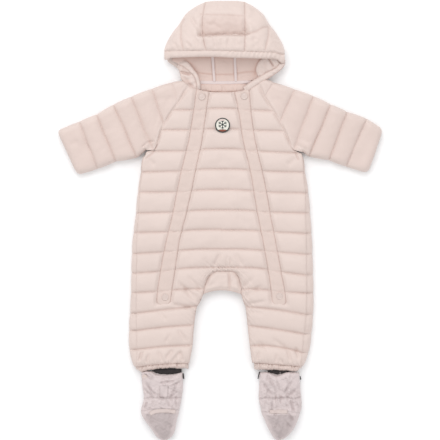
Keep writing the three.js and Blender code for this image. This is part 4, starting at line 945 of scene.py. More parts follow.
def sleeve_surface(side, columns=92):
    """Rings across the sleeve. Each runs from the underside round the top fold, over the puffed face and
    round the other edge, and closes flat below."""
    v = channel_steps(0, 7, 22)
    table = SLEEVES[side]
    top, low = sleeve_ends(side, v)
    v = v[:, None]
    to_cuff = (7 - v) * np.hypot(*(table[7, :2] - table[6, :2]))
    inset = unit(low - top) * corner_inset(9.0, to_cuff)
    top, low = top + inset, low - inset
    run = np.linalg.norm(low - top, axis=1)[:, None]
    top_x, top_y, low_x, low_y = *top.T[..., None], *low.T[..., None]
    squeeze = np.minimum(1, run / FULL_WIDTH)
    sewn = (v <= NOTCH) * 1.0
    share = spaced(columns)
    from_top, from_low = share * run, (1 - share) * run
    along = share * SLEEVE_SPAN
    wander = 0.5 * noise(along, v * 23, 60, 89) * np.sin(np.pi * share)
    x, y = mix(top_x, low_x, share) + 0.92 * wander, mix(top_y, low_y, share) + 0.38 * wander
    length = np.linalg.norm(np.diff((table[:, :2] + table[:, 2:]) / 2, axis=0), axis=1)
    depth = np.interp(v, np.arange(7) + 0.5, length)
    rise, tint = channel(along, v, depth, 81 if side == "right" else 91, SLEEVE_PUFF)
    firm = mix(0.4, 1, ramp(v, 0.9, 2.4))
    rise, tint = mix(0.92 * SLEEVE_PUFF, rise, firm), tint * firm
    past = (v - LAST_LINE) * depth
    plump = (MITT_TOP - SEAM_TOP) * np.sqrt(np.sin(np.pi / 2 * np.clip((v - LAST_LINE) / 0.42, 0, 1)))
    plump = plump + 0.5 * noise(x, y, 34, 83) + gathers(along, 6, past, 85)
    rise = np.where(v > LAST_LINE, plump, rise)
    tint = np.where(v > LAST_LINE, bell(past, 1.7), tint)
    height = SEAM_TOP + rise + creases(x, y, SLEEVE_CREASES[side])
    roll = rolled(from_top, ROLL * squeeze, ROLL_START) * rolled(to_cuff, 13, 0.4)
    roll = roll * np.where(sewn > 0, 1, rolled(from_low, ROLL * squeeze, ROLL_START))
    height = mix(height, RAGLAN_TOP, sewn * bell(from_low, RAGLAN_REACH))
    z = np.maximum(height * roll, 3) + sewn * gathers(v * CHANNEL_LENGTH, 8, from_low, 87, 9, 6, 0.9)
    tint = np.maximum(tint, 0.4 * sewn * firm * bell(from_low, 1.3))
    tint = np.maximum(tint, 0.45 * ramp(run * np.minimum(share, 1 - share), 2, 14))
    step = INSETS * squeeze / run
    first = points_of(mix(top_x, low_x, step), mix(top_y, low_y, step), LEVELS * z[:, :1])
    step = np.where(sewn > 0, 0.0005, step)[:, ::-1]
    last = points_of(mix(low_x, top_x, step), mix(low_y, top_y, step), LEVELS[::-1] * z[:, -1:])
    ring = np.concatenate([first, points_of(x, y, z), last], axis=1)
    return facing(ring, np.pad(tint, ((0, 0), (len(INSETS), len(INSETS)))), side == "right")


for side in OUTWARD:
    made = piece(f"sleeve_{side}_quilted", [sleeve_surface(side)], shell_cloth, [f"sleeve_{side}"], wrap=True)

# %% [markdown]
# ## Soft straps and bands
#
# The hem bands, the bindings and the folds at the hood are all soft straps between two edges. One
# function carries an oval section with a flat base along two edge curves, from a short table of points.

# %% Strap between two edges
SECTION = [  # step, share of the way across, share of the height
    [0, 0.12, 0], [1, 0.03, 0.12], [2, 0, 0.4], [3, 0.1, 0.78], [4, 0.32, 0.97], [5, 0.5, 1], [6, 0.68, 0.97],
    [7, 0.9, 0.78], [8, 1, 0.4], [9, 0.97, 0.12], [10, 0.88, 0],
]


def oval(around):
    """The section as shares of the way across and of the height."""
    step = np.linspace(0, 10, around)
    return curve(SECTION, 1)(step), curve(SECTION, 2)(step)


def strap_surface(rows, bottom, rise, stations=90, around=30, ends=0.55, flutes=None, tint=0.0, spread=0.8):
    """Rings of the oval section carried between two edge curves. rows are ax, ay, bx, by, and spread
    moves both edges outwards, so that the cloth meets its neighbours. The height drops towards both
    ends. flutes, if given, is an amount, wavelength and seed of cross folds, and tint darkens the edges:
    painted shade where the strap meets the cloth beside it."""
    rows = [[index, *row] for index, row in enumerate(rows)]
    w = np.linspace(0, len(rows) - 1, stations)[:, None]
    ax, ay, bx, by = (curve(rows, k)(w) for k in (1, 2, 3, 4))
    wide = np.hypot(bx - ax, by - ay)
    ux, uy = spread * (bx - ax) / wide, spread * (by - ay) / wide
    ax, ay, bx, by = ax - ux, ay - uy, bx + ux, by + uy
    across, share = oval(around)
    end = np.minimum(w, len(rows) - 1 - w) / (len(rows) - 1)
    height = rise * mix(ends, 1, ramp(end, 0, 0.12))
    if flutes:
        run = run_along(np.hstack([ax, ay]))[:, None]
        height = height * (1 + flutes[0] * noise(run, across * 5, *flutes[1:]))
    grid = points_of(mix(ax, bx, across), mix(ay, by, across), np.maximum(bottom + height * share, bottom))
    return grid, np.tile(tint * bell(np.minimum(across, 1 - across), 0.12), (stations, 1))


# %% [markdown]
# ### Hem bands
#
# Elastic gathers the band at the end of each leg into small flutes, and its lower edge is a little wavy.

# %% Hem bands
HEMS = {  # x at the outer and inner end, y of the lower edge at the outer end, middle and inner end
    "right": [-160, -60, -291, -281.5, -283], "left": [155, 65, -288.5, -284.5, -284.5]}
HEM_TOP = 17.0


def hem_surface(side, stations=230, around=34):
    """Rings across the band, from its seam over the top to its lower edge, fluted by the elastic."""
    outer, inner, *low_row = HEMS[side]
    u = np.linspace(0, 1, stations)[:, None]
    run = u * abs(outer - inner)
    seam = bow(*LINES[-1][list(COLUMNS[side])], u) + 2.6
    flute = noise(run, 0 * run, 5.2, 101 if side == "right" else 103)
    end = np.clip(8 * np.minimum(u, 1 - u) + 0.3, 0, 1)
    low = bow(*low_row, u) + 0.5 * flute + 2.2 * (1 - end) + 6.5 * bell(run, 6.5)
    top = HEM_TOP * np.sqrt(end) * (0.94 + 0.05 * flute)
    across, share = oval(around)
    z = top * share + 0.3 * noise(run + 3 * across, across * 6, 4, 105) * (share > 0.6)
    z = np.maximum(z - 0.7 * bell(across - 0.5, 0.07) * (share > 0.9), 0)
    tint = np.tile(0.35 + 0.5 * bell(across, 0.12) + 0.4 * bell(1 - across, 0.1), (stations, 1))
    return facing(points_of(mix(outer, inner, u), mix(seam, low, across), z), tint, side == "left")


for side in OUTWARD:
    made = piece(f"hem_band_{side}", [hem_surface(side)], shell_cloth, [f"hem_{side}"], wrap=True)

# %% [markdown]
# ## The booties
#
# A bootie is a sock of thin lined taffeta: loose folds in its leg, elastic at the ankle, a vamp and a toe
# cap. It is a flattened tube whose width and height follow one table, with each fold a soft groove.

# %% Bootie tables
BOOTS = [  # y, x of both edges of the right bootie, then of the left, height
    [-418.3, -111.5, -102, 107.5, 115, 8], [-411.5, -120.6, -92, 101, 127, 15],
    [-402, -127.4, -86.4, 95.2, 136, 20], [-391, -134.8, -84.2, 89.6, 143, 22],
    [-379, -144, -82, 84.6, 148, 22], [-368, -149.5, -78.8, 79.5, 151.4, 20],
    [-357, -150, -76.6, 77.2, 154.8, 17.5], [-345, -146.3, -74.4, 74.6, 155.2, 19],
    [-334, -144.8, -72.4, 73.4, 154.2, 15.5], [-322, -146.8, -70.8, 74, 153, 18],
    [-300, -149.6, -70.8, 75, 151.5, 17.5], [-291.5, -149, -71.5, 75, 150.5, 15],
]
BOOT_COLUMNS = {"right": (1, 2, 5), "left": (3, 4, 5)}
BOOT_RIM = {  # x and y along the upper edge
    "right": [
        [-150, -287.4], [-139, -286.6], [-129, -288.6], [-122, -292.4], [-112, -293.8], [-92, -293.2],
        [-80, -290.5], [-72, -288.6],
    ],
    "left": [
        [74, -289.4], [86, -288.4], [96, -290.6], [107.5, -295.4], [119, -291], [128, -288.4], [152, -289.4],
    ],
}
BOOT_TOP, ANKLE_Y, TOE_Y = -292.0, -337.0, -418.3
BOOT_CREASES = {
    "right": [
        [-148, -290, -124, -303, 1.8, 1.5], [-136, -290, -124, -300, 1.5, 1.2],
        [-119, -309, -82, -304, 1.8, 1.4], [-142, -308, -122, -332, 2, 1.5], [-96, -316, -72, -304, 2, 1.3],
        [-120, -296, -84, -298, 1.8, 1.1], [-145, -318, -126, -338, 2, 1.3], [-82, -310, -92, -334, 2, 1.2],
        [-98, -338, -78, -322, 1.8, 1.2], [-134, -318, -128, -334, 2, 1], [-138, -344, -144, -360, 2, 1.2],
        [-124, -340, -130, -354, 1.7, 0.9], [-100, -340, -96, -354, 1.7, 0.9], [-84, -342, -82, -356, 1.7, 1],
        [-112, -341, -113, -352, 1.5, 0.7], [-134, -374, -122, -388, 2.7, 0.8],
        [-96, -374, -92, -396, 2.7, 0.7],
    ],
    "left": [
        [90, -294, 112, -332, 2.4, 1.4], [142, -298, 118, -332, 2.4, 1.5], [107, -297, 114, -328, 2, 1],
        [80, -306, 100, -334, 2.4, 1.3], [150, -314, 128, -336, 2.4, 1.4], [124, -296, 130, -312, 2, 0.9],
        [98.8, -338, 98.6, -371, 1.5, 1.3], [115, -338, 115, -348, 1.3, 1], [133, -342, 141, -364, 2, 1.4],
        [145, -342, 149, -358, 1.7, 1], [86, -342, 84, -360, 2, 1.1], [124, -342, 128, -356, 1.7, 0.9],
        [128, -364, 140, -381, 2, 1.3], [118, -374, 134, -394, 2.4, 1.1], [104, -374, 110, -392, 2.7, 0.6],
    ],
}
CAP_SEAM = {
    "right": [
        [-150, -362], [-137.5, -359.6], [-113, -356.6], [-81, -359.2], [-76, -361],
    ],
    "left": [
        [78, -364], [98.8, -362.4], [127.3, -361.6], [154, -366],
    ],
}

# %% Bootie surface


def boot_surface(side, stations=118, columns=84):
    """Rings from the rim to the toes. Each ring is flat below, rolled at both folds and domed on top.
    The elastic pinches the ankle into flutes, and the cap's seam is a fine groove."""
    y_even = np.linspace(BOOT_TOP, TOE_Y, stations)[:, None]
    x_low, x_high, tall = (curve(BOOTS, column)(y_even) for column in BOOT_COLUMNS[side])
    width = x_high - x_low
    share = spaced(columns)
    x = mix(x_low, x_high, share)
    rim = curve(BOOT_RIM[side])(x)
    y = y_even + (rim - BOOT_TOP) * (1 - ramp(-y_even, 292, 318))
    squeeze = np.minimum(1, width / FULL_WIDTH)
    from_low, from_high = share * width, (1 - share) * width
    roll = rolled(from_low, ROLL * squeeze, ROLL_START) * rolled(from_high, ROLL * squeeze, ROLL_START)
    ankle = np.abs(y - ANKLE_Y - 0.8 * noise(x, 0 * x, 30, 117))
    flute = noise(x, 0.25 * (y - ANKLE_Y), 7, 111 if side == "right" else 113)
    seam = distance_to(x, y, dense(CAP_SEAM[side]))
    folds = 2.1 * creases(x, y, BOOT_CREASES[side])
    height = tall + folds + 0.8 * noise(x, y, 15, 115) + 0.35 * noise(x, y, 7, 116)
    height += -2.2 * bell(ankle, 2.0) + 1.5 * flute * np.exp(-ankle / 9)
    height += -1.1 * bell(seam, 1.1) + 0.7 * bell(rim - y - 2.2, 1.2) - 5.5 * np.exp(-(rim - y) / 1.2)
    z = np.maximum(height * roll, 2.5) * mix(0.6, 1, ramp(y_even - TOE_Y, 0, 5))
    past_seam = np.interp(x, *np.transpose(CAP_SEAM[side])) - y
    toe = ramp(past_seam, 5, 8) * ramp(np.minimum(from_low, from_high), 2, 12)
    tint = 0.9 * np.maximum(bell(ankle, 1.5), bell(seam, 1.0))
    # The toe cap is a greyer cloth; the clip of the folds paints shade in the creases, by their depth.
    tint = np.maximum(np.maximum(tint, 1.25 * toe), np.clip(-0.2 * folds, 0, 0.9))
    step = INSETS * squeeze
    first = points_of(x_low + step, y[:, :1], LEVELS * z[:, :1])
    last = points_of(x_high - step[:, ::-1], y[:, -1:], LEVELS[::-1] * z[:, -1:])
    ring = np.concatenate([first, points_of(x, y, z), last], axis=1)
    return ring, np.pad(tint, ((0, 0), (len(INSETS), len(INSETS))))


booties = {}
for side in OUTWARD:
    surface = boot_surface(side)
    booties[side] = surface[0]
    nodes = [f"boot_{part}_{side}" for part in ("shaft", "vamp", "toe")]
    made = piece(f"bootie_{side}", [surface], boot_cloth, nodes, wrap=True)

# %% [markdown]
# ### Trim on the booties
#
# A pale binding covers the seam of each toe cap, a stitched tab reinforces the right ankle, and dark
# tapes join the booties to the inside of the hems.

# %% Bootie trim
BINDINGS = {
    "right": [[-133, -367], [-127, -363.4], [-113, -361], [-97, -361.4], [-84, -363.4]],
    "left": [[94, -363], [112, -362.6], [128, -363]],
}
DARK_TAPES = {  # both edges as ax, ay, bx, by, then the height of the bottom and the rise
    "hem_tape_right": (
        [[-129, -286, -129, -290.4], [-118, -282.6, -118, -291.6], [-100, -282.2, -100, -292.4],
         [-84, -282.6, -84, -291.6], [-73, -283, -73, -290.6]], 3, 6.5),
    "hem_tape_left": (
        [[91, -285.2, 91, -288.4], [99, -285.4, 99, -291.5], [108, -285.6, 108, -293],
         [120, -286, 120, -291], [131, -287, 131, -288.6]], 3, 6.5),
    "boot_strap_inner_right": (
        [[-72, -290.6, -68.4, -290.2], [-71.6, -296, -67.4, -295], [-71, -302, -66.8, -300.4]], 4, 5.5),
    "boot_strap_inner_left": (
        [[73.8, -287.2, 77.6, -287.8], [72, -293, 75.6, -293], [70.6, -300.4, 74, -301.6]], 4, 5.5),
    "boot_strap_outer_left": (
        [[151, -296.4, 154, -296], [151.4, -299.6, 155, -299.2], [151.6, -303, 155.6, -302]], 4, 5.5),
}


def laid_strip(grid, path, width, lift, columns=5):
    """A narrow strip on a made surface: a path with its left and right edges, each point lifted off the
    surface below it, with a low crown across."""
    path = dense(path, 1.5)
    chord = unit(np.gradient(path, axis=0))
    across = np.linspace(-1, 1, columns)
    x = path[:, :1] - across * width / 2 * chord[:, 1:]
    y = path[:, 1:] + across * width / 2 * chord[:, :1]
    z = np.vectorize(top_of, excluded=[0])(grid, x, y) + lift + 0.35 * (1 - across ** 2)
    return points_of(x, y, z)[:, ::-1]


for side in OUTWARD:
    binding = laid_strip(booties[side], BINDINGS[side], 7.5, 0.2)
    made = piece(f"toe_binding_{side}", [(binding, 0.0)], binding_cloth, closed=False, wall=0.5)
tab = laid_strip(booties["right"], [[-106.5, -313.5], [-106.5, -335]], 15.0, 0.4, columns=12)
tab_tint = np.pad(np.zeros((tab.shape[0] - 2, tab.shape[1] - 2)), 1, constant_values=0.7)
made = piece("ankle_tab_right", [(tab, tab_tint)], boot_cloth, ["boot_tab_right"], closed=False, wall=0.6)
x, y = -143.0, -297.0
cap = spun(STUD_PROFILE * (0.72, 0.6), x, y, top_of(booties["right"], x, y, 4) - 0.4)
piece("stud_bootie_right", [(cap, 0.0)], stud_plastic, wrap=True)
for name, (edges, bottom, rise) in DARK_TAPES.items():
    spread = -0.8 if "strap" in name else 0.6
    surface = strap_surface(edges, bottom, rise, stations=40, around=20, flutes=(0.1, 9, 121), spread=spread)
    piece(f"{name}_woven", [surface], dark_cloth, [name], wrap=True)

# %% [markdown]
# ## The hood
#
# The hood is three padded panels: its back lies flat, its front stands up in a dome over the lining, and
# the brim holds its edge. Each ring starts under the back, rolls round the outline, climbs over the dome
# to the brim and returns along the inside, so that the hollow stays open.

# %% Hood tables
BRIM_SEAM = 320.5
BRIM_DEPTH = 13.6
CORNER_TOP = 23.0
BRIM_RISE = 24.0
HOOD_WALL = 9.0
HOOD_MIDDLE = 8.3
HOOD_SAG = 12.0  # how far the cloth sinks above the crown's second line of quilting
HOOD_SIDES = {  # share, outline x and y, x at the brim, x and y at the neck
    "right": [
        [0, -27, 415.2, -26, -12.5, 258.8], [0.15, -45, 406.5, -38, -26, 258.4],
        [0.35, -65, 391.5, -55, -44, 257.7], [0.5, -77.4, 372.8, -70, -59.2, 257.8],
        [0.7, -91, 355.4, -84, -72.6, 269], [0.85, -100.8, 338, -94, -79, 287],
        [1, -106, 325, -104.5, -99, 302],
    ],
    "left": [
        [0, 46.5, 415.2, 46.5, 29, 260], [0.15, 62, 407, 56.6, 42.6, 260.1],
        [0.35, 81.6, 391.5, 71.6, 60, 260.1], [0.5, 93.4, 372.8, 86, 72.4, 260.5],
        [0.7, 107, 355, 100, 88.2, 270], [0.85, 117.4, 337.4, 110.6, 103, 280], [1, 123, 323, 121, 120, 298],
    ],
}
HOOD_BULGE = {"right": -7.0, "left": 0.8}
HOOD_SEAMS = [  # lines of quilting in plan
    [[-36, 390], [4, 388.6], [46, 387]],
    [[-34.2, 348.8], [12.7, 351.6], [47.5, 350.4], [68, 357], [80.8, 365.2], [90.3, 366.7]],
    [[91.8, 365], [91.8, 349.2], [88.7, 336.7], [85.5, 322]],
    [[-68, 381], [-73.5, 370], [-74, 347.7], [-72.2, 335], [-68.8, 322]],
]
HOOD_CREASES = [
    [-57, 390, -38, 354, 4.5, 2.6], [-66.5, 340, -52, 324, 3.5, 1.5], [-18, 376, 6, 360, 4, 1.5],
    [-30, 374, -8, 366, 3.5, 1.2], [14, 388, 40, 377, 6, 1], [-10, 346, -9, 326, 3.2, 1.3],
    [4, 345, 3, 330, 3.2, 0.8], [16, 346, 15, 325, 3.2, 1.3], [31, 345, 33, 326, 3.2, 1.1],
    [96, 350, 112, 340, 3.2, 1.6], [98, 338, 118, 330, 3.2, 1.5], [58, 402, 74, 386, 5, 1.1],
    [-90, 352, -98, 330, 4, 1.2], [58, 346, 80, 334, 4.5, 1.3], [66, 336, 84, 327, 3.5, 1.2],
    [-50, 350, -42, 328, 4, 1], [102, 362, 114, 342, 4, 1.1], [-46, 402, -60, 388, 4, 1.2],
    [100, 330, 120, 320, 3, 1.4], [-86, 336, -80, 324, 3.5, 1.1], [52, 384, 66, 366, 6, 1.2],
    [-16, 412, 30, 410, 3.5, 0.7], [-24, 402, 6, 400, 5, 0.6],
]
HOOD_UNDER = np.array([[6, 0], [3.4, 0.5], [1.4, 2.2], [0.4, 5], [0, 8], [0, 11.5]])  # inset, height

# %% Hood surface


def brim_height(x):
    """Height of the brim's seam: highest over the middle of the face, falling to both corners."""
    return CORNER_TOP + BRIM_RISE * np.power(np.maximum(0, 1 - ((x - HOOD_MIDDLE) / 114) ** 2), 0.7)


def brim_droop(x):
    """How far the brim hangs towards the face: more on the wearer's left, where it has slipped."""
    return 1.4 * ramp(x, -20, 40) + 1.0 * ramp(x, 40, 95) + 3.6 * ramp(x, 98, 121)


def panel_seam(side):
    """The seam between the crown and a side panel, from the outline to the brim."""
    _, ox, oy, bx, *_ = HOOD_SIDES[side][0]
    share = np.linspace(0, 1, 60)
    return np.stack([bow(ox, (ox + bx) / 2 + HOOD_BULGE[side], bx, share),
                     mix(oy, BRIM_SEAM - brim_droop(bx), share)], axis=-1)


def dome_height(share, high):
    """The dome's height from the outline to the brim: a quarter sine wave, a little squared."""
    return mix(15, high, np.power(np.sin(np.pi / 2 * np.minimum(1, share / 0.92)), 0.8))


HOOD_PATHS = [panel_seam(side) for side in OUTWARD] + [dense(path, 2.0) for path in HOOD_SEAMS]


def hood_rings(ox, oy, bx, nx, ny, bulge, over=86):
    """Rings through the hood at stations along its outline. All inputs are columns, one row a ring. The
    dome is puffed between its seams, creased, and sunk above the crown's second line of quilting."""
    by = BRIM_SEAM - brim_droop(bx)
    length, to_neck = np.hypot(bx - ox, by - oy), np.hypot(nx - ox, ny - oy)
    squeeze = np.minimum(1, length / 60)
    high = brim_height(bx)

    def dome(share):
        """Plan points between the outline and the brim."""
        return mix(ox, bx, share) + bulge * 4 * share * (1 - share), mix(oy, by, share)

    def low(distance, level):
        """Points at a level, a distance in from the outline towards the neck."""
        step = np.clip(distance / to_neck, 0, 1)
        return points_of(mix(ox, nx, step), mix(oy, ny, step), level)

    share = np.linspace(0, 1, over) ** 1.25
    x, y = dome(share)
    seams = distance_to(x, y, np.concatenate(HOOD_PATHS))
    brim_line = (1 - share) * length
    hold = (1 - 0.8 * np.exp(-seams / 4.5)) * (1 - np.exp(-brim_line / 3.5)) * ramp(share * length, -6, 10)
    puffed = 5.0 * hold * (1 + 0.1 * noise(x, y, 40, 131)) + 0.3 * noise(x, y, 13, 132)
    puffed += gathers(x + y, 4, seams, 133, 8, 5, 0.8) + gathers(x, 5, brim_line, 134, 9, 6, 0.9)
    above = y - np.interp(x, *np.transpose(HOOD_SEAMS[1]))
    hollow, lip = np.clip(1 - above / 37, 0, 1) ** 1.2, np.exp(np.minimum(above, 0) / 1.5)
    sag = HOOD_SAG * np.where(above > 0, hollow, lip) * ramp(x, -46, -34) * ramp(-x, -60, -46)
    pressed = 1.5 * creases(x, y, HOOD_CREASES) * ramp(share * length, 0, 8)
    z = dome_height(share, high) + puffed - sag + pressed
    # The tint marks the seams and paints shade on the fold of the sag; shade paints the sunk puff of the
    # crown darker.
    fold = distance_to(x, y, dense(HOOD_SEAMS[1][:3], 2.0))
    tint = 1.4 * np.maximum(bell(seams, 1.7), 1.6 * bell(fold, 1.6))
    shade = ramp(above, 0, 6) * ramp(-above, -44, -26) * ramp(x, -40, -32) * ramp(-x, -48, -40)
    inside = np.linspace(1, 0.3, 14)
    lining = points_of(*dome(inside), np.maximum(12.8, dome_height(inside, high) - HOOD_WALL - 1))
    under = [low(to_neck - 3, 0), low(HOOD_UNDER[:, 0] * squeeze, HOOD_UNDER[:, 1])]
    back = [
        low(16 * squeeze, 12.6),
        low(16 * squeeze + 1, BACK_TOP),
        low(to_neck - 2, BACK_TOP),
        low(to_neck, 4),
    ]
    ring = np.concatenate([*under, points_of(x, y, z), lining, *back], axis=1)
    before = 1 + len(HOOD_UNDER)
    return ring, np.pad(np.maximum(tint, shade), ((0, 0), (before, ring.shape[1] - over - before)))


# %% Hood panels
for side in OUTWARD:
    share = np.linspace(0, 1, 96)[:, None]
    stations = [curve(HOOD_SIDES[side], k)(share) for k in (1, 2, 3, 4, 5)]
    surface = hood_rings(*stations, HOOD_BULGE[side] * (1 - ramp(share, 0, 0.4)))
    surface = facing(*surface, side == "right")
    made = piece(f"hood_panel_{side}", [surface], shell_cloth, [f"hood_side_{side}"], wrap=True)
share = np.linspace(0, 1, 72)[:, None]
stations = [mix(*ends, share) for ends in zip(HOOD_SIDES["right"][0][1:], HOOD_SIDES["left"][0][1:])]
stations[1] = stations[1] + 1.6 * ramp(4 * share * (1 - share), 0, 0.8)
surface = hood_rings(*stations, mix(HOOD_BULGE["right"], HOOD_BULGE["left"], share))
made = piece("hood_crown", [surface], shell_cloth, ["hood_centre"], wrap=True)

# %% [markdown]
# ### Brim, lining and the folds at the face
#
# A padded binding edges the hood. Below it the lining shows, with two seam tapes, the neck tape and the
# facing, and on both sides the binding runs down to the neck beside soft folds.

# %% Brim


def brim_surface(stations=210, around=30):
    """The binding: an oval section carried along the hood's edge, stitched down near its upper side."""
    share = np.linspace(0, 1, stations)[:, None]
    x = mix(-105.4, 122.6, share)
    end = np.clip(8 * np.minimum(share, 1 - share) + 0.75, 0, 1)
    depth = (BRIM_DEPTH + 0.5 * np.cos(share * 9)) * end + 6.5 * ramp(x, 106, 121) + 6 * ramp(-x, 92, 105)
    across, lift = oval(around)
    stitch = 0.5 * bell(across - 0.2, 0.05)
    bump = 0.35 * noise(x + 4 * across, across * 8, 9, 141) * (lift > 0.4)
    z = brim_height(np.clip(x, -103.5, 120)) - 8.4 + 9.2 * lift + bump - stitch * (lift > 0.7)
    y = BRIM_SEAM + 3.8 - brim_droop(x) - across * (depth + 2.2)
    return points_of(x, y, z), np.tile(stitch, (stations, 1))


made = piece("brim_binding", [brim_surface()], shell_cloth, ["hood_brim"], wrap=True)

# %% Lining
LINING_TOP = FRONT_BASE + 1.2
LINING_LOW = [
    [-92, 304], [-70, 292], [-52, 278], [-36, 264.6], [0, 264.4], [52, 265], [79, 273], [101.5, 285.5],
    [113, 300],
]
LINING_HIGH = [
    [-92, 304], [-88, 318], [-78, 334], [-34, 345], [8, 347], [50, 345], [95, 334], [106, 318], [113, 300],
]
LINING_QUILT = [[-58, 282], [-20, 278.5], [-6, 277.5], [24, 278], [46, 282], [68, 283.5]]
LINING_CREASES = [
    [-46, 300, -38, 322, 5, 0.7], [62, 296, 72, 316, 5, 0.7], [-2, 300, 14, 310, 6, 0.7],
    [6, 306, 20, 298, 3, 0.9], [38, 272, 60, 276, 2.5, 0.8], [-36, 272, -20, 270, 2.5, 0.8],
]
LINING_SHADES = [
    [[-68, 308], [-57, 297], [-49.6, 286.5], [-44, 278]], [[79, 308], [70, 296], [67, 284], [66, 278]]]
TAPE_LINES = {"right": (-10.6, -14.4), "left": (30.2, 27.8)}  # x at the neck and under the brim


def lining_lift(x, y):
    """How far the lining has risen towards the brim, as the far wall of the hollow."""
    return 0.75 * np.maximum(brim_height(x) - 10 - LINING_TOP, 0) * ramp(y, 282, 328)


def tape_x(side, y):
    """x of a tape's middle: straight from the neck to the brim."""
    return np.interp(y, [268, 310], TAPE_LINES[side])


def lining_surface(stations=150, columns=90):
    """A grid between the lining's lower and upper edges, with its line of quilting pressed in. The tint
    is deeper on the quilting and beside the tapes, and paints brown shade beside the side folds and
    under the brim."""
    x = np.linspace(-91.5, 112.5, stations)
    y = mix(curve(LINING_HIGH)(x), curve(LINING_LOW)(x), np.linspace(0, 1, columns)[:, None])
    x = x + 0 * y
    quilt = distance_to(x, y, dense(LINING_QUILT))
    z = LINING_TOP + 0.5 + 0.35 * noise(x, y, 24, 151) + 1.5 * creases(x, y, LINING_CREASES)
    z = np.maximum(z - 1.1 * bell(quilt, 2), FRONT_BASE + 0.6) + lining_lift(x, y)
    beside = np.minimum(*[np.abs(np.abs(x - tape_x(side, y)) - 3.4) for side in OUTWARD])
    tint = np.maximum(1.3 * bell(quilt, 1.5), 1.5 * bell(beside, 0.9))
    # Painted shade, brown with the lining's seam colour: beside the side folds and under the brim.
    shade = 1.8 * np.exp(-np.minimum(*[distance_to(x, y, dense(path)) for path in LINING_SHADES]) / 3.5)
    tint = np.maximum(tint, np.maximum(shade, 1.7 * np.exp(-np.maximum(310 - y, 0) / 5)))
    return points_of(x, y, z), tint


lining = piece("hood_lining_cloth", [lining_surface()], lining_cloth, ["hood_lining"], closed=False, wall=0.5)
for side in OUTWARD:
    edges = [[tape_x(side, y) - 3, y, tape_x(side, y) + 3, y] for y in (264, 290, 316, 340)]
    grid, tint = strap_surface(edges, LINING_TOP + 0.9, 1.1, 60, 22, ends=0.8, tint=1.0, spread=-0.4)
    grid[..., 2] += lining_lift(grid[..., 0], grid[..., 1])
    tape = piece(f"lining_tape_{side}_cloth", [(grid, tint)], tape_cloth, [f"lining_tape_{side}"], wrap=True)

# %% Neck tape and facing
edges = [[-42, 266, -41, 259.2], [-14, 265.4, -12, 258.8], [5, 265, 10, 258.8], [28, 265.4, 30, 259.4],
         [60, 266.6, 58, 260.4]]
surface = strap_surface(edges, FRONT_BASE + 0.2, 2.4, flutes=(0.1, 10, 155), tint=1.0, spread=0.3)
neck_tape = piece("neck_tape_cloth", [surface], tape_cloth, ["neck_tape"], wrap=True)
edges = [[-43, 258.6, -43, 246.6], [-14, 259, -12, 245.4], [5, 259.2, 6, 244.4], [24, 259.3, 24, 245],
         [50, 259.4, 50, 247.4]]
surface = strap_surface(edges, FRONT_BASE + 0.1, 2.6, flutes=(0.25, 9, 157), tint=1.2)
made = piece("neck_facing_cloth", [surface], lining_cloth, ["neck_facing"], wrap=True)

# %% Bindings and folds at the face
EDGE_BOTTOM = LINING_TOP + SEAM_GAP
FACE_EDGES = {  # both edges as ax, ay, bx, by
    "right": [
        [-81, 298, -68, 308], [-68.4, 291.2, -57, 297], [-57, 281.8, -49.6, 286.5], [-49.4, 274, -43, 277.5],
        [-45, 263, -38.6, 265], [-43.4, 249.6, -36.6, 250],
    ],
    "left": [
        [123.4, 305, 113.5, 300.5], [121.6, 294, 108, 291.6], [113.6, 285, 101.5, 287],
        [99.5, 275, 90, 281.6], [86.5, 267, 78.4, 275.4], [72.5, 258.6, 66, 268], [58, 248.6, 53.6, 260],
        [50, 244.4, 43.6, 253],
    ],
}
FOLD_RIGHT = [
    [-81.5, 293, -76, 299], [-77.6, 286, -63, 290.5], [-74.6, 276.5, -52, 281.6], [-72, 267.5, -46, 272.5],
    [-60.4, 256, -43, 262], [-47, 248.4, -42, 252],
]
FOLD_CREASES = [
    [-78, 283, -54, 277, 2.6, 4.5], [-72, 290, -62, 284, 2.5, 1.6], [-68, 266, -48, 252, 3, 2.6],
    [-72, 274, -56, 262, 3, 1.6],
]
SIDE_LINING = [
    [74, 270.5, 68, 285], [88.5, 278.5, 71, 296], [103, 286.5, 80, 307], [111, 291, 94, 311],
    [114, 300, 108, 309],
]
SIDE_CREASES = [[90, 311, 103, 290, 1.8, 3.2], [82, 304, 88, 288, 4, 1.2]]


def creased(surface, rows, bottom, height, shade, deepest, lift=0.0):
    """A strap with creases pressed into it, none at its bottom and all from `height` up. The tint paints
    shade in the creases, their depth times shade, and lift is how much of the lining's rise it takes part in."""
    grid, tint = surface
    folds = creases(grid[..., 0], grid[..., 1], rows)
    tint = np.maximum(tint, np.clip(-shade * folds, 0, deepest))
    folds = folds + lift * lining_lift(grid[..., 0], grid[..., 1])
    grid[..., 2] += folds * ramp(grid[..., 2], bottom, bottom + height)
    return grid, tint


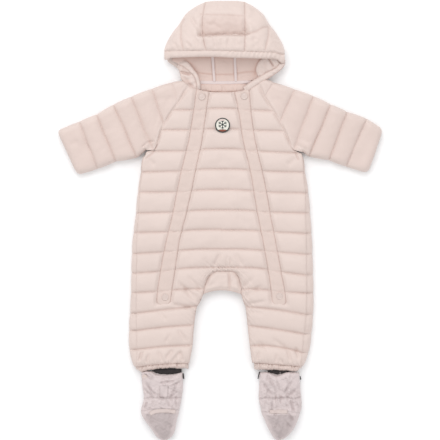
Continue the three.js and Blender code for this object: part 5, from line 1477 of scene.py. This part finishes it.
for side in OUTWARD:
    # tint=2.2 paints a strong shade along the binding's edges, where it stands above the cloth beside it.
    surface = strap_surface(FACE_EDGES[side], EDGE_BOTTOM, 8.4, 110, 32, flutes=(0.07, 11, 161), tint=2.2)
    made = piece(f"face_binding_{side}", [surface], shell_cloth, [f"face_edge_{side}"], wrap=True)
surface = strap_surface(FOLD_RIGHT, FRONT_BASE, 6.5, 110, 60, flutes=(0.1, 14, 163), tint=0.5)
surface = creased(surface, FOLD_CREASES, FRONT_BASE, 5, 0.6, 1.5)
made = piece("hood_fold_right_cloth", [surface], shell_cloth, ["hood_fold_right"], wrap=True)
surface = strap_surface(SIDE_LINING, EDGE_BOTTOM, 5.5, 70, flutes=(0.12, 16, 165), tint=0.8)
surface = creased(surface, SIDE_CREASES, EDGE_BOTTOM, 3, 0.7, 2, lift=1.0)
made = piece("lining_fold_left", [surface], shell_cloth, ["lining_side_left"], wrap=True)

# %% [markdown]
# ## Chest patch
#
# A round woven patch sits on the chest: an off-white field, a dark stitched rim, and a plain six-armed
# snowflake above a low brick-red hill. The motif is a mask over the plan of one disc, made from the
# distance to a few straight strokes, and the mask chooses the thread.

# %% Chest patch
PATCH_SPOT = (4.8, 180.7)
PATCH_RADIUS = 14.2
PATCH_RIM = 2.1
INK, FIELD, BRICK = (0.03, 0.04, 0.038, 1), (0.74, 0.72, 0.65, 1), (0.24, 0.07, 0.045, 1)


def stroke(x, y, ax, ay, bx, by):
    """Distance to a straight stroke from a to b."""
    length = (bx - ax) ** 2 + (by - ay) ** 2
    along = np.clip(((x - ax) * (bx - ax) + (y - ay) * (by - ay)) / length, 0, 1)
    return np.hypot(x - ax - along * (bx - ax), y - ay - along * (by - ay))


def soft(distance):
    """1 inside a shape and 0 outside it, passing one half at its edge."""
    return np.clip(0.5 - distance / 0.6, 0, 1)


def patch_motif(x, y):
    """0 on the field, 0.5 in ink and 1 in brick: six arms with two barbs each, over a low hill."""
    ink = np.full(x.shape, 99.0)
    for turn in np.arange(6) * np.pi / 3 + np.pi / 6:
        ux, uy = np.cos(turn), np.sin(turn)
        ink = np.minimum(ink, stroke(x, y - 1.2, 0, 0, 8.0 * ux, 8.0 * uy) - 0.75)
        for sign in (-1, 1):
            tip = (7.0 * ux - sign * 2.4 * uy, 7.0 * uy + sign * 2.4 * ux)
            ink = np.minimum(ink, stroke(x, y - 1.2, 4.4 * ux, 4.4 * uy, *tip) - 0.6)
    return np.maximum(0.5 * soft(ink), soft(y + 9.2 - 1.2 * np.cos(x / 6)))


def patch_disc(seat, rings=90, turns=160):
    """The disc in polar rings, from its seat up: a flat field inside a merrowed rim."""
    radius = PATCH_RADIUS * np.linspace(0.004, 1, rings)[:, None]
    turn = np.linspace(0, 2 * np.pi, turns)
    x, y = radius * np.cos(turn), radius * np.sin(turn)
    rim = np.clip((radius - PATCH_RADIUS + PATCH_RIM) / PATCH_RIM, 0, 1)
    z = 0.9 * np.sin(np.pi * rim) ** 0.6 + 0.12 * np.cos(90 * turn) * (rim > 0) - 0.6 * (rim >= 1)
    motif = np.where(rim > 0, 0.5, patch_motif(x, y))
    return points_of(x + PATCH_SPOT[0], y + PATCH_SPOT[1], z + (seat + 0.6)), motif


patch_cloth = cloth("patch_cloth", FIELD[:3], INK[:3], "woven_patch", weave=0.6, crinkle=0.05, sheen=0.1)
nodes = patch_cloth.node_tree.nodes
add(patch_cloth, "ValToRGB", "Color", {"Fac": nodes["seam"].outputs["Fac"]})
threads = nodes["Color Ramp"].color_ramp
threads.interpolation = "CONSTANT"
threads.elements[0].color = FIELD
threads.elements[1].position = 0.25
threads.elements[1].color = INK
threads.elements.new(0.75).color = BRICK
feed(nodes["toned"], {0: nodes["Color Ramp"].outputs["Color"]})
under = np.hypot(strip[..., 0] - PATCH_SPOT[0], strip[..., 1] - PATCH_SPOT[1]) < PATCH_RADIUS
seat = strip[..., 2][under].max() - 0.9
patch = piece("chest_patch_woven", [patch_disc(seat)], patch_cloth, ["chest_patch"], base=seat - 3.5)
